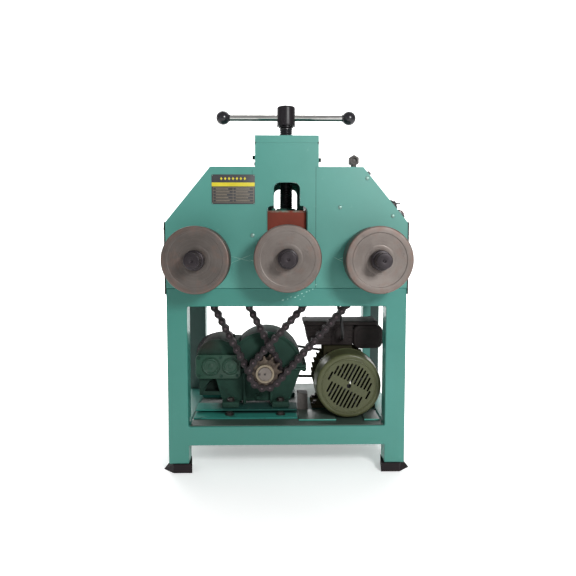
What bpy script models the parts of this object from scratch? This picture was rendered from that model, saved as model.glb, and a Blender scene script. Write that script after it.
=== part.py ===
"""Electric ring roller for pipe: welded stand, roller head and chain drive (metres, +Z up).

The machine stands on z = 0 with its rollers towards -Y. FRONT is the plane of the front plate.
Depths (names that end in DEPTH) are counted back from that plane, so y = FRONT + depth.
"""

import math

import bmesh
import bpy
from mathutils import Matrix, Vector

# Clearances
FIT = 0.0003
OVERRUN = 0.004
WELD_PROUD = 0.001
MERGE = 0.00005
FLAT_ANGLE = math.radians(0.5)

# Stand of square tube
STAND_WIDTH = 0.708
STAND_DEPTH = 0.528
TUBE = 0.060
CORNER_WELD = 0.005
TUBE_EDGE = 0.004
FOOT_HEIGHT = 0.027
LOW_RAIL_Z = 0.083
LOW_RAIL_HEIGHT = 0.058
TOP_RAIL_HEIGHT = 0.054
STAND_TOP = 0.556
FOOT_INSIDE = 0.010
FOOT_TOE = 0.021
FOOT_FRONT_CUT = 0.014
FOOT_LIP = 0.003
FOOT_LENGTH = 0.072
SHELF_SHEET = 0.0025
SHELF_MARGIN = 0.004

# Head plates
PLATE = 0.010
HEAD_DEPTH = 0.264
SIDE_TOP = 0.749
SHOULDER_X = 0.222
SHOULDER_Z = 0.909
TOWER_HALF = 0.0925
TOWER_SEAM_Z = 0.977
TOP_PLATE = 0.021
TOWER_WALL = 0.010
COVER_SHEET = 0.004
COVER_SEAM_X = 0.084
SEAM = 0.0006
SIDE_SHEET = 0.004
SIDE_BOTTOM = 0.538
SLOT_WIDE = 0.120
SLOT_WIDE_TOP = 0.797
SLOT_NARROW = 0.076
SLOT_TOP = 0.864
SLOT_BOTTOM = 0.578
SLOT_CORNER = 0.018

# Rollers and their shafts
ROLLER_X = 0.254
OUTER_Z = 0.642
MIDDLE_Z = 0.646
ROLLER_RADIUS = 0.094
ROLLER_THICK = 0.080
ROLLER_STAND_OFF = 0.036
ROLLER_CHAMFER = 0.004
ROLLER_RING = 0.074
ROLLER_STEP = 0.0015
SHAFT_RADIUS = 0.025
THREAD_RADIUS = 0.022
STUB_REACH = 0.186
NUT_RADIUS = 0.028
NUT_LENGTH = 0.030
NUT_CHAMFER = 0.003
SHOULDER_RADIUS = 0.031
BOSS_REACH = 0.020
BOSS_RADIUS = 0.035
FLANGE_RADIUS = 0.055
FLANGE_THICK = 0.012
REAR_FLANGE = 0.018
SHAFT_TAIL = 0.012

# Slide block and screw
BLOCK_HALF = 0.057
BLOCK_FRONT_DEPTH = 0.020
BLOCK_BACK_DEPTH = 0.200
BLOCK_TOP = 0.7835
BLOCK_BOTTOM = 0.600
BLOCK_EDGE = 0.003
COLLAR_RADIUS = 0.030
COLLAR_HEIGHT = 0.010
SCREW_DEPTH = 0.134
SCREW_RADIUS = 0.020
SCREW_SEAT = 0.040
SCREW_NECK = 0.017
SCREW_GROOVE = 0.005
NUT_BUSH_RADIUS = 0.032
NUT_BUSH_FLANGE = 0.040
NUT_BUSH_DROP = 0.010
HUB_BOTTOM = 1.047
HUB_TOP = 1.107
HUB_RADIUS = 0.027
HUB_CHAMFER = 0.003
SCREW_INTO_HUB = 0.012
BAR_Z = 1.073
BAR_RADIUS = 0.0085
BALL_X = 0.197
BALL_RADIUS = 0.0205
BAR_INTO_BALL = 0.012

# Chain drive
PITCH = 0.0254
TEETH = 12
CHAIN_ROLLER_RADIUS = 0.00794
SEAT_RADIUS = 0.00825
INNER_HALF = 0.0079
LINK_PLATE = 0.0032
LINK_HALF_HEIGHT = 0.012
TIP_RADIUS = 0.0545
TIP_HALF = 0.0028
TOOTH_HALF_WIDTH = 0.0072
RIGHT_PITCHES = 19
LEFT_PITCHES = 16
RIGHT_CHAIN_DEPTH = 0.104
LEFT_CHAIN_DEPTH = 0.139
OUTPUT_RADIUS = 0.0185
OUTPUT_FRONT_DEPTH = 0.077
OUTPUT_SEAT = 0.050
HUB_SLEEVE_RADIUS = 0.026
HUB_SLEEVE_FRONT_DEPTH = 0.080
SPROCKET_HUB_RADIUS = 0.0345
SPROCKET_HUB_LENGTH = 0.034

# Gear reducer
CASE_FRONT_DEPTH = 0.174
CASE_BACK_DEPTH = 0.344
CASE_LEFT = -0.292
CASE_RIGHT = 0.067
CASE_FLANGE = 0.009
BIG_ARC = 0.1197
SMALL_ARC_X = -0.2245
SMALL_ARC_Z = 0.309
SMALL_ARC = 0.0675
BODY_TOP_LEFT = -0.215
BODY_TOP_RIGHT = 0.048
BODY_LOW_LEFT = -0.202
BODY_LOW_RIGHT = 0.012
BODY_BOTTOM = 0.172
CASE_FOOT_X = (-0.179, -0.018)
CASE_FOOT_WIDTH = 0.055
CASE_FOOT_HEIGHT = 0.018
CASE_FOOT_REACH = 0.042
CASE_RIB_X = (-0.135, -0.048)
CASE_RIB_WIDTH = 0.008
CASE_RIB_PROUD = 0.014
LUG_X = -0.150
LUG_Z = 0.374
LUG_WIDTH = 0.020
LUG_LENGTH = 0.060
END_PLATE_LEFT = -0.292
END_PLATE_RIGHT = -0.147
END_PLATE_BOTTOM = 0.2485
END_PLATE_TOP = 0.3275
END_PLATE_THICK = 0.014
END_PLATE_CORNER = 0.016
CAP_Z = 0.289
CAP_PROUD = 0.005
INPUT_X = -0.2375
INPUT_CAP_RADIUS = 0.026
MIDDLE_CAP_X = -0.184
MIDDLE_CAP_RADIUS = 0.023
INPUT_RADIUS = 0.012
INPUT_SEAT = 0.040

# Channels and shelf under the reducer
CHANNEL_LEFT = -0.288
CHANNEL_RIGHT = 0.034
CHANNEL_SHEET = 0.004
CHANNEL_HEIGHT = 0.016
CHANNEL_LIP_DEPTH = 0.066
CHANNEL_FRONT_DEPTH = 0.115
CHANNEL_WEB_DEPTH = 0.196

# Motor
MOTOR_X = 0.192
MOTOR_Z = 0.249
COWL_FRONT_DEPTH = 0.054
COWL_BACK_DEPTH = 0.137
COWL_FRONT_RADIUS = 0.100
COWL_BACK_RADIUS = 0.104
COWL_ROUND = 0.008
COWL_SHEET = 0.0018
COWL_HOLE = 0.003
GRILLE_RADIUS = 0.068
GRILLE_BAND = 0.011
GRILLE_SLOT = 0.0052
GRILLE_PITCH = 0.0115
GRILLE_TILT = 62.0
SHIELD_LENGTH = 0.013
MOTOR_STAND_OFF = 0.042
BELL_LENGTH = 0.030
BELL_RADIUS = 0.060
FIN_ROOT = 0.084
FIN_TIP = 0.096
FIN_COUNT = 22
MOTOR_FOOT_LEFT = 0.084
MOTOR_FOOT_RIGHT = 0.2927
MOTOR_FOOT_HEIGHT = 0.014
MOTOR_FOOT_SETBACK = 0.028
MOTOR_FOOT_MARGIN = 0.025
MOTOR_NECK_HALF = 0.070
MOTOR_SHAFT_RADIUS = 0.011
MOTOR_BASE_LEFT = 0.072
MOTOR_BASE_MARGIN = 0.012
FAN_FRONT_DEPTH = 0.074
FAN_BACK_DEPTH = 0.114
FAN_HUB = 0.020
FAN_RADIUS = 0.080
FAN_BLADES = 8
FAN_BLADE_HALF = 0.0025

# Terminal and capacitor boxes
BOX_LEFT = 0.062
BOX_RIGHT = 0.2195
BOX_TAPER = 0.014
BOX_BOTTOM = 0.354
BOX_LID_BOTTOM = 0.421
BOX_TOP = 0.433
BOX_FRONT_DEPTH = 0.184
BOX_BACK_MARGIN = 0.004
LID_LEFT = 0.057
LID_RIGHT = 0.302
LID_OVERHANG = 0.008
CAP_BOX_RIGHT = 0.317
CAP_BOX_BOTTOM = 0.343
CAP_BOX_FRONT_DEPTH = 0.176
CAP_BOX_CORNER = 0.022
GLAND_X = 0.181
GLAND_Z = 0.378
GLAND_RADIUS = 0.009
GLAND_LENGTH = 0.012

# Belt drive behind the reducer
BELT_STAND_OFF = 0.028
BELT_WIDTH = 0.013
BELT_THICK = 0.008
BELT_GAP = 0.001
INPUT_PULLEY = 0.070
MOTOR_PULLEY = 0.038
PULLEY_CHEEK = 0.004
PULLEY_RIM = 0.002

# Switch and button on the right slope
SWITCH_SHARE = 0.69
BUTTON_SHARE = 0.86
CONTROL_DEPTH = 0.040
SWITCH_RADIUS = 0.017
SWITCH_HEIGHT = 0.011
SWITCH_BORE = 0.004
SWITCH_BORE_LENGTH = 0.008
LEVER_HUB_HALF = 0.008
LEVER_HUB_HEIGHT = 0.004
LEVER_ROOT = 0.006
LEVER_TIP = 0.003
LEVER_REACH = 0.012
LEVER_RISE = 0.0145
LEVER_WIDTH = 0.010
BUTTON_BLOCK_HALF = 0.014
BUTTON_BLOCK_HEIGHT = 0.010
BUTTON_RADIUS = 0.0085
BUTTON_PROUD = 0.005
BUTTON_WELL = 0.006
BUTTON_TRAVEL = 0.003
SWITCH_BOX_HALF = 0.021
SWITCH_BOX_DROP = 0.040

# Nut on the right shoulder
EYE_X = 0.210
EYE_Z = 0.943
EYE_DEPTH = 0.114
EYE_FLATS = 0.030
EYE_LENGTH = 0.024
EYE_BORE = 0.008
EYE_NECK = 0.007

# Motor cable
CABLE_RADIUS = 0.005

# Facets
ROUND_STEPS = 28
SHAFT_STEPS = 16
BEARING_STEPS = 16
SMALL_STEPS = 12
LINK_SIDES = 6
ROLLER_SIDES = 5

# Places worked out from the sizes above
FRONT = (STUB_REACH - STAND_DEPTH - FOOT_LIP) / 2
HALF = STAND_WIDTH / 2
SHELF_TOP = LOW_RAIL_Z + LOW_RAIL_HEIGHT + FIT + SHELF_SHEET
CHANNEL_TOP = SHELF_TOP + FIT + CHANNEL_HEIGHT
HEAD_BOTTOM = STAND_TOP + FIT
TOWER_TOP = TOWER_SEAM_Z + FIT + TOP_PLATE
SLOPE = math.atan2(SHOULDER_Z - SIDE_TOP, HALF - SHOULDER_X)
PITCH_RADIUS = PITCH / (2 * math.sin(math.pi / TEETH))
MOTOR_BASE_TOP = MOTOR_Z - FIN_TIP - OVERRUN
BELT_DEPTH = CASE_BACK_DEPTH + BELT_STAND_OFF
BODY_BACK_DEPTH = BELT_DEPTH - MOTOR_STAND_OFF - BELL_LENGTH
MOTOR_FOOT_FRONT_DEPTH = COWL_BACK_DEPTH + MOTOR_FOOT_SETBACK
MOTOR_FOOT_BACK_DEPTH = BODY_BACK_DEPTH - MOTOR_FOOT_MARGIN
MOTOR_BASE_FRONT_DEPTH = MOTOR_FOOT_FRONT_DEPTH - MOTOR_BASE_MARGIN
BOX_BACK_DEPTH = BODY_BACK_DEPTH - BOX_BACK_MARGIN


def clear_scene():
    """Takes every object out of the file."""
    for item in list(bpy.data.objects):
        bpy.data.objects.remove(item, do_unlink=True)


def new_collection(name):
    """Adds a collection to the scene."""
    group = bpy.data.collections.new(name)
    bpy.context.scene.collection.children.link(group)
    return group


clear_scene()
PARTS = new_collection("ring_roller")
CUTTERS = new_collection("ring_roller_cutters")


def paint(name, colour, roughness, metallic=0.0):
    """A plain Principled material."""
    material = bpy.data.materials.new(name)
    material.use_nodes = True
    shader = material.node_tree.nodes["Principled BSDF"]
    shader.inputs["Base Color"].default_value = (*colour, 1.0)
    shader.inputs["Roughness"].default_value = roughness
    shader.inputs["Metallic"].default_value = metallic
    return material


GREEN = paint("mint_paint", (0.12, 0.37, 0.29), 0.45)
DARK_GREEN = paint("gearcase_paint", (0.02, 0.07, 0.05), 0.5)
OLIVE = paint("motor_paint", (0.10, 0.12, 0.05), 0.4)
RED_OXIDE = paint("primer", (0.22, 0.05, 0.03), 0.6)
ROLLER_STEEL = paint("roller_steel", (0.20, 0.17, 0.15), 0.45, 0.9)
BLACK_STEEL = paint("black_steel", (0.02, 0.02, 0.025), 0.4, 0.8)
CHROME = paint("chrome_bar", (0.75, 0.75, 0.75), 0.15, 1.0)
CHAIN_STEEL = paint("chain_steel", (0.05, 0.045, 0.05), 0.45, 0.9)
SPROCKET_STEEL = paint("sprocket_steel", (0.22, 0.19, 0.15), 0.45, 0.9)
BLACK_PLASTIC = paint("black_plastic", (0.015, 0.014, 0.014), 0.35)
BUTTON_RED = paint("button_red", (0.18, 0.04, 0.03), 0.4)
RUBBER = paint("rubber", (0.02, 0.02, 0.02), 0.8)
SHELF_GREY = paint("shelf_grey", (0.05, 0.055, 0.05), 0.6)
BRONZE = paint("nut_bronze", (0.30, 0.18, 0.07), 0.4, 0.9)

TO_XZ = (math.pi / 2, 0.0, 0.0)
TO_YZ = (math.pi / 2, 0.0, math.pi / 2)
FLAT = (0.0, 0.0, 0.0)
ALONG = {"Z": FLAT, "Y": (-math.pi / 2, 0.0, 0.0), "X": (0.0, math.pi / 2, 0.0)}


def keep(name, mesh, material, origin=FLAT, turn=FLAT):
    """Puts a mesh in the collection of parts."""
    item = bpy.data.objects.new(name, mesh)
    mesh.materials.clear()
    mesh.materials.append(material)
    PARTS.objects.link(item)
    item.location = origin
    item.rotation_euler = turn
    return item


def as_cutter(item):
    """Moves an operand of a Boolean to the collection of cutters."""
    PARTS.objects.unlink(item)
    CUTTERS.objects.link(item)
    item.hide_render = True
    item.display_type = "WIRE"
    return item


def boolean(base, others, operation, solver="EXACT"):
    """Joins solids to a base, or cuts them from it."""
    for other in others:
        modifier = base.modifiers.new(operation.lower(), "BOOLEAN")
        modifier.operation = operation
        modifier.solver = solver
        modifier.object = as_cutter(other)
    return base


def bevel(item, width, segments=1):
    """Breaks the sharp edges of a piece."""
    modifier = item.modifiers.new("edge", "BEVEL")
    modifier.width = width
    modifier.segments = segments
    modifier.limit_method = "ANGLE"
    modifier.angle_limit = math.radians(50)
    return item


def block(name, low, high, material, edge=0.0):
    """A box between two corners, its origin in its middle."""
    size = Vector(high) - Vector(low)
    form = bmesh.new()
    bmesh.ops.create_cube(form, size=1)
    bmesh.ops.scale(form, vec=size, verts=form.verts)
    mesh = bpy.data.meshes.new(name)
    form.to_mesh(mesh)
    form.free()
    item = keep(name, mesh, material, (Vector(low) + Vector(high)) / 2)
    if edge:
        bevel(item, edge)
    return item


def turned(name, profile, origin, axis, material, steps=ROUND_STEPS, ring=False):
    """Spins (radius, height) points, which run down the outer side, about an axis."""
    mesh = bpy.data.meshes.new(name)
    points = [(radius, 0.0, height) for radius, height in profile]
    edges = [(i, i + 1) for i in range(len(points) - 1)]
    if ring:
        edges.append((len(points) - 1, 0))
    mesh.from_pydata(points, edges, [])
    item = keep(name, mesh, material, origin, ALONG[axis])
    screw = item.modifiers.new("turn", "SCREW")
    screw.axis = "Z"
    screw.steps = steps
    screw.render_steps = steps
    screw.use_merge_vertices = True
    screw.merge_threshold = MERGE
    screw.use_smooth_shade = True
    return item


def rod(name, radius, low, high, origin, axis, material, steps=ROUND_STEPS):
    """A plain round bar from one height to another along its axis."""
    profile = [(0.0, high), (radius, high), (radius, low), (0.0, low)]
    return turned(name, profile, origin, axis, material, steps)


def ring(name, outer, inner, low, high, origin, axis, material, steps=ROUND_STEPS):
    """A plain round sleeve."""
    profile = [(inner, high), (outer, high), (outer, low), (inner, low)]
    return turned(name, profile, origin, axis, material, steps, ring=True)


def bore_radius(radius, steps):
    """Radius of a faceted bore whose flats clear a round piece."""
    return (radius + FIT) / math.cos(math.pi / steps)


def arc(centre, radius, start, end, steps):
    """Points of an arc from one angle to another, in radians."""
    turns = [start + (end - start) * i / steps for i in range(steps + 1)]
    return [(centre[0] + radius * math.cos(a), centre[1] + radius * math.sin(a)) for a in turns]


def circle(centre, radius, steps=ROUND_STEPS):
    """Points of a whole circle."""
    return arc(centre, radius, 0.0, 2 * math.pi, steps)[:-1]


def box_loop(left, right, low, high):
    """The corners of a rectangle, counterclockwise."""
    return [(left, low), (right, low), (right, high), (left, high)]


def rounded(points, radius, steps=3):
    """A closed outline with each corner turned into an arc."""
    out = []
    count = len(points)
    for i, here in enumerate(points):
        corner = Vector(here)
        before = (Vector(points[i - 1]) - corner).normalized()
        after = (Vector(points[(i + 1) % count]) - corner).normalized()
        half = before.angle(after) / 2
        reach = radius / math.tan(half)
        centre = corner + (before + after).normalized() * radius / math.sin(half)
        first = corner + before * reach - centre
        last = corner + after * reach - centre
        start = math.atan2(first.y, first.x)
        sweep = math.atan2(last.y, last.x) - start
        sweep = (sweep + math.pi) % (2 * math.pi) - math.pi
        out += arc(centre, radius, start, start + sweep, steps)
    return out


def sheet(name, loops, thickness, origin, turn, material):
    """Flat outlines, the first round the others, filled and given a thickness."""
    curve = bpy.data.curves.new(name, "CURVE")
    curve.dimensions = "2D"
    curve.fill_mode = "BOTH"
    curve.extrude = thickness / 2
    for loop in loops:
        spline = curve.splines.new("POLY")
        spline.points.add(len(loop) - 1)
        for point, (u, v) in zip(spline.points, loop):
            point.co = (u, v, 0.0, 1.0)
        spline.use_cyclic_u = True
    return from_curve(name, curve, origin, turn, material)


def from_curve(name, curve, origin, turn, material):
    """Turns a curve into a closed mesh."""
    drawn = bpy.data.objects.new(name + "_curve", curve)
    bpy.context.scene.collection.objects.link(drawn)
    bpy.context.view_layer.update()
    graph = bpy.context.evaluated_depsgraph_get()
    mesh = bpy.data.meshes.new_from_object(drawn.evaluated_get(graph))
    bpy.data.objects.remove(drawn, do_unlink=True)
    form = bmesh.new()
    form.from_mesh(mesh)
    bmesh.ops.remove_doubles(form, verts=form.verts, dist=MERGE)
    bmesh.ops.dissolve_degenerate(form, dist=MERGE, edges=form.edges)
    bmesh.ops.recalc_face_normals(form, faces=form.faces)
    bmesh.ops.dissolve_limit(form, angle_limit=FLAT_ANGLE, verts=form.verts, edges=form.edges)
    form.to_mesh(mesh)
    form.free()
    return keep(name, mesh, material, origin, turn)


def mirrored(loop):
    """The same outline on the other side of x = 0."""
    return [(-u, v) for u, v in reversed(loop)]


# Stand: front and rear frames, side rails and the cross rail under the head
def stand_frame(name, middle_y):
    """Two legs with a low and a top rail, welded flat in one plane."""
    inner = HALF - TUBE
    outline = [
        (-HALF, FOOT_HEIGHT + FIT),
        (-inner, FOOT_HEIGHT + FIT),
        (-inner, LOW_RAIL_Z),
        (inner, LOW_RAIL_Z),
        (inner, FOOT_HEIGHT + FIT),
        (HALF, FOOT_HEIGHT + FIT),
        (HALF, STAND_TOP),
        (-HALF, STAND_TOP),
    ]
    window = box_loop(-inner, inner, LOW_RAIL_Z + LOW_RAIL_HEIGHT, STAND_TOP - TOP_RAIL_HEIGHT)
    loops = [outline, rounded(window, CORNER_WELD, 2)]
    return bevel(sheet(name, loops, TUBE, (0.0, middle_y, 0.0), TO_XZ, GREEN), TUBE_EDGE / 2)


def build_stand():
    """The welded stand with its shelf."""
    rear = FRONT + STAND_DEPTH
    stand_frame("stand_front", FRONT + TUBE / 2)
    stand_frame("stand_rear", rear - TUBE / 2)
    levels = (
        ("low", LOW_RAIL_Z, LOW_RAIL_HEIGHT),
        ("top", STAND_TOP - TOP_RAIL_HEIGHT, TOP_RAIL_HEIGHT),
    )
    for level, bottom, height in levels:
        for side, sign in (("left", -1), ("right", 1)):
            edges = sorted((sign * (HALF - TUBE), sign * HALF))
            low = (edges[0], FRONT + TUBE + FIT, bottom)
            high = (edges[1], rear - TUBE - FIT, bottom + height)
            block("side_rail_%s_%s" % (level, side), low, high, GREEN, TUBE_EDGE)
    inner = HALF - TUBE - FIT
    middle = FRONT + HEAD_DEPTH
    low = (-inner, middle - TUBE / 2, STAND_TOP - TOP_RAIL_HEIGHT)
    block("cross_rail", low, (inner, middle + TUBE / 2, STAND_TOP), GREEN, TUBE_EDGE)
    edge = inner - CORNER_WELD
    low = (-edge, FRONT + SHELF_MARGIN, SHELF_TOP - SHELF_SHEET)
    block("shelf_plate", low, (edge, rear - SHELF_MARGIN, SHELF_TOP), SHELF_GREY)


def foot(name, side, end):
    """A pad under a leg, wider inside at its front, its top sloping down to the edge of its toe."""
    inside = HALF - TUBE - FOOT_INSIDE
    plan = [
        (inside, -FOOT_LENGTH / 2),
        (HALF - FOOT_FRONT_CUT, -FOOT_LENGTH / 2),
        (HALF + FOOT_TOE, 0.0),
        (HALF - FOOT_FRONT_CUT, FOOT_LENGTH / 2),
        (HALF - TUBE, FOOT_LENGTH / 2),
    ]
    plan = plan if side > 0 else mirrored(plan)
    reach = STAND_DEPTH / 2 + FOOT_LIP - FOOT_LENGTH / 2
    place = (0.0, FRONT + STAND_DEPTH / 2 + end * reach, FOOT_HEIGHT / 2)
    item = sheet(name, [plan], FOOT_HEIGHT, place, FLAT, RUBBER)
    for vertex in item.data.vertices:
        if vertex.co.z > 0 and abs(vertex.co.x) > HALF:
            vertex.co.x = side * HALF
    return item


def build_feet():
    """Four pads, their toes pointing outwards."""
    for end_name, end in (("front", -1), ("rear", 1)):
        for side_name, side in (("left", -1), ("right", 1)):
            foot("foot_%s_%s" % (end_name, side_name), side, end)


# Head: front, cover, rear and top plates, tower sides and bent covers
def slot_loop():
    """The stepped slot: wide for the slide block, narrow above it for the screw."""
    wide = SLOT_WIDE / 2
    narrow = SLOT_NARROW / 2
    step = arc((wide - SLOT_CORNER, SLOT_WIDE_TOP - SLOT_CORNER), SLOT_CORNER, 0.0, math.pi / 2, 4)
    crown = arc((narrow - SLOT_CORNER, SLOT_TOP - SLOT_CORNER), SLOT_CORNER, 0.0, math.pi / 2, 4)
    half = [(wide, SLOT_BOTTOM)] + step[:-1] + [(narrow, SLOT_WIDE_TOP)] + crown
    return half + mirrored(half)


def narrow_slot_loop():
    """The narrow slot alone, for the rear plate."""
    half = SLOT_NARROW / 2
    return rounded(box_loop(-half, half, SLOT_BOTTOM, SLOT_TOP), SLOT_CORNER)


def bearing(item, name, x, side, depth):
    """Welds a flanged bearing round a shaft hole, on the side of the plate that the sign gives."""
    reach = BOSS_REACH if side < 0 else REAR_FLANGE
    bore = bore_radius(SHAFT_RADIUS, BEARING_STEPS)
    profile = [
        (bore, PLATE + WELD_PROUD),
        (FLANGE_RADIUS, PLATE + WELD_PROUD),
        (FLANGE_RADIUS, -FLANGE_THICK),
        (BOSS_RADIUS, -FLANGE_THICK),
        (BOSS_RADIUS, -reach),
        (bore, -reach),
    ]
    if side > 0:
        profile = [(radius, PLATE - height) for radius, height in reversed(profile)]
    place = (x, FRONT + depth, OUTER_Z)
    flange = turned(name, profile, place, "Y", GREEN, BEARING_STEPS, ring=True)
    return boolean(item, [flange], "UNION")


def build_plates():
    """The two parallel plates of the head, the cover plate beside the tower and the top plate."""
    hole = FLANGE_RADIUS - PLATE / 2
    left_half = [
        (-TOWER_HALF, TOWER_SEAM_Z),
        (-TOWER_HALF, SHOULDER_Z),
        (-SHOULDER_X, SHOULDER_Z),
        (-HALF, SIDE_TOP),
        (-HALF, HEAD_BOTTOM),
    ]
    seam = [
        (COVER_SEAM_X, HEAD_BOTTOM),
        (COVER_SEAM_X, SHOULDER_Z),
        (TOWER_HALF, SHOULDER_Z),
        (TOWER_HALF, TOWER_SEAM_Z),
    ]
    middle = FRONT + PLATE / 2
    loops = [left_half + seam, slot_loop(), circle((-ROLLER_X, OUTER_Z), hole)]
    plate = sheet("front_plate", loops, PLATE, (0.0, middle, 0.0), TO_XZ, GREEN)
    bearing(plate, "front_bearing_left", -ROLLER_X, -1, 0.0)
    edge = COVER_SEAM_X + SEAM
    cover = [
        (edge, HEAD_BOTTOM),
        (HALF, HEAD_BOTTOM),
        (HALF, SIDE_TOP),
        (SHOULDER_X, SHOULDER_Z - SEAM / 2),
        (edge, SHOULDER_Z - SEAM / 2),
    ]
    loops = [cover, circle((ROLLER_X, OUTER_Z), hole)]
    plate = sheet("right_cover_plate", loops, PLATE, (0.0, middle, 0.0), TO_XZ, GREEN)
    bearing(plate, "front_bearing_right", ROLLER_X, -1, 0.0)
    rear_middle = FRONT + HEAD_DEPTH - PLATE / 2
    outline = left_half + mirrored(left_half)
    holes = [circle((sign * ROLLER_X, OUTER_Z), hole) for sign in (-1, 1)]
    loops = [outline, narrow_slot_loop()] + holes
    plate = sheet("rear_plate", loops, PLATE, (0.0, rear_middle, 0.0), TO_XZ, GREEN)
    for name, sign in (("left", -1), ("right", 1)):
        bearing(plate, "rear_bearing_" + name, sign * ROLLER_X, 1, HEAD_DEPTH - PLATE)
    top = box_loop(-TOWER_HALF, TOWER_HALF, 0.0, HEAD_DEPTH)
    hole = bore_radius(NUT_BUSH_RADIUS, SHAFT_STEPS)
    loops = [top, circle((0.0, SCREW_DEPTH), hole, SHAFT_STEPS)]
    place = (0.0, FRONT, TOWER_TOP - TOP_PLATE / 2)
    sheet("top_plate", loops, TOP_PLATE, place, FLAT, GREEN)


def build_tower_sides():
    """The tower's side walls, each with the guide that the slide block runs along."""
    front = PLATE + FIT
    back = HEAD_DEPTH - PLATE - FIT
    guide = BLOCK_HALF + FIT
    plan = [
        (guide, BLOCK_FRONT_DEPTH),
        (TOWER_HALF - TOWER_WALL, BLOCK_FRONT_DEPTH),
        (TOWER_HALF - TOWER_WALL, front),
        (TOWER_HALF, front),
        (TOWER_HALF, back),
        (TOWER_HALF - TOWER_WALL, back),
        (TOWER_HALF - TOWER_WALL, BLOCK_BACK_DEPTH),
        (guide, BLOCK_BACK_DEPTH),
    ]
    height = TOWER_SEAM_Z - HEAD_BOTTOM
    place = (0.0, FRONT, HEAD_BOTTOM + height / 2)
    for name, loop in (("left", mirrored(plan)), ("right", plan)):
        sheet("tower_side_" + name, [loop], height, place, FLAT, GREEN)


def build_covers():
    """Bent sheets over each shoulder, slope and side, with the lapped side strip."""
    inside = TOWER_HALF + FIT
    along = (math.cos(SLOPE), -math.sin(SLOPE))
    lift = COVER_SHEET / math.cos(SLOPE)
    knee = COVER_SHEET * math.tan(SLOPE / 2)
    wall_knee = SIDE_TOP - lift + COVER_SHEET * along[1] / along[0] * -1
    profile = [
        (inside, SHOULDER_Z),
        (SHOULDER_X, SHOULDER_Z),
        (HALF, SIDE_TOP),
        (HALF, HEAD_BOTTOM),
        (HALF - COVER_SHEET, HEAD_BOTTOM),
        (HALF - COVER_SHEET, wall_knee),
        (SHOULDER_X - knee, SHOULDER_Z - COVER_SHEET),
        (inside, SHOULDER_Z - COVER_SHEET),
    ]
    span = HEAD_DEPTH - 2 * PLATE - 2 * FIT
    strip = box_loop(HALF - COVER_SHEET / 2, HALF + SIDE_SHEET, SIDE_BOTTOM, SIDE_TOP)
    tail = box_loop(HALF + FIT, HALF + SIDE_SHEET, SIDE_BOTTOM, SIDE_TOP)
    for name, sign in (("left", -1), ("right", 1)):
        flip = mirrored if sign < 0 else list
        middle = (0.0, FRONT + HEAD_DEPTH / 2, 0.0)
        item = sheet("head_cover_" + name, [flip(profile)], span, middle, TO_XZ, GREEN)
        band = [(u, max(v, HEAD_BOTTOM)) for u, v in strip]
        lap = sheet("lap_" + name, [flip(band)], span, middle, TO_XZ, GREEN)
        side = sheet("strip_" + name, [flip(tail)], HEAD_DEPTH, middle, TO_XZ, GREEN)
        boolean(item, [lap, side], "UNION")


# Rollers, shafts and nuts
def roller(name, x, z):
    """A turned disc with a bore, a chamfered rim and a shallow step in its face."""
    front = -ROLLER_STAND_OFF - ROLLER_THICK
    back = -ROLLER_STAND_OFF
    rim = ROLLER_RADIUS - ROLLER_CHAMFER
    bore = bore_radius(SHAFT_RADIUS, ROUND_STEPS)
    profile = [
        (bore, back),
        (rim, back),
        (ROLLER_RADIUS, back - ROLLER_CHAMFER),
        (ROLLER_RADIUS, front + ROLLER_CHAMFER),
        (rim, front),
        (ROLLER_RING + ROLLER_STEP, front),
        (ROLLER_RING, front + ROLLER_STEP),
        (bore, front + ROLLER_STEP),
    ]
    turned(name, profile, (x, FRONT, z), "Y", ROLLER_STEEL, ROUND_STEPS, ring=True)


def shaft(name, x, z, tail):
    """A roller shaft with its shoulder behind the roller and its nut on the front end."""
    face = -ROLLER_STAND_OFF - ROLLER_THICK
    nut_back = face - FIT + ROLLER_STEP
    nut_front = nut_back - NUT_LENGTH
    profile = [
        (0.0, tail),
        (SHAFT_RADIUS, tail),
        (SHAFT_RADIUS, -BOSS_REACH - FIT),
        (SHOULDER_RADIUS, -BOSS_REACH - FIT),
        (SHOULDER_RADIUS, FIT - ROLLER_STAND_OFF),
        (SHAFT_RADIUS, FIT - ROLLER_STAND_OFF),
        (SHAFT_RADIUS, nut_back),
        (NUT_RADIUS, nut_back),
        (NUT_RADIUS, nut_front + NUT_CHAMFER),
        (NUT_RADIUS - NUT_CHAMFER, nut_front),
        (THREAD_RADIUS, nut_front),
        (THREAD_RADIUS, NUT_CHAMFER - STUB_REACH),
        (THREAD_RADIUS - NUT_CHAMFER, -STUB_REACH),
        (0.0, -STUB_REACH),
    ]
    turned(name, profile, (x, FRONT, z), "Y", BLACK_STEEL, SHAFT_STEPS)


def build_rollers():
    """Three rollers on three shafts."""
    tail = HEAD_DEPTH + REAR_FLANGE + SHAFT_TAIL
    shaft("left_shaft", -ROLLER_X, OUTER_Z, tail)
    roller("left_roller", -ROLLER_X, OUTER_Z)
    shaft("right_shaft", ROLLER_X, OUTER_Z, tail)
    roller("right_roller", ROLLER_X, OUTER_Z)
    shaft("middle_shaft", 0.0, MIDDLE_Z, BLOCK_BACK_DEPTH + SHAFT_TAIL)
    roller("middle_roller", 0.0, MIDDLE_Z)


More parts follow.
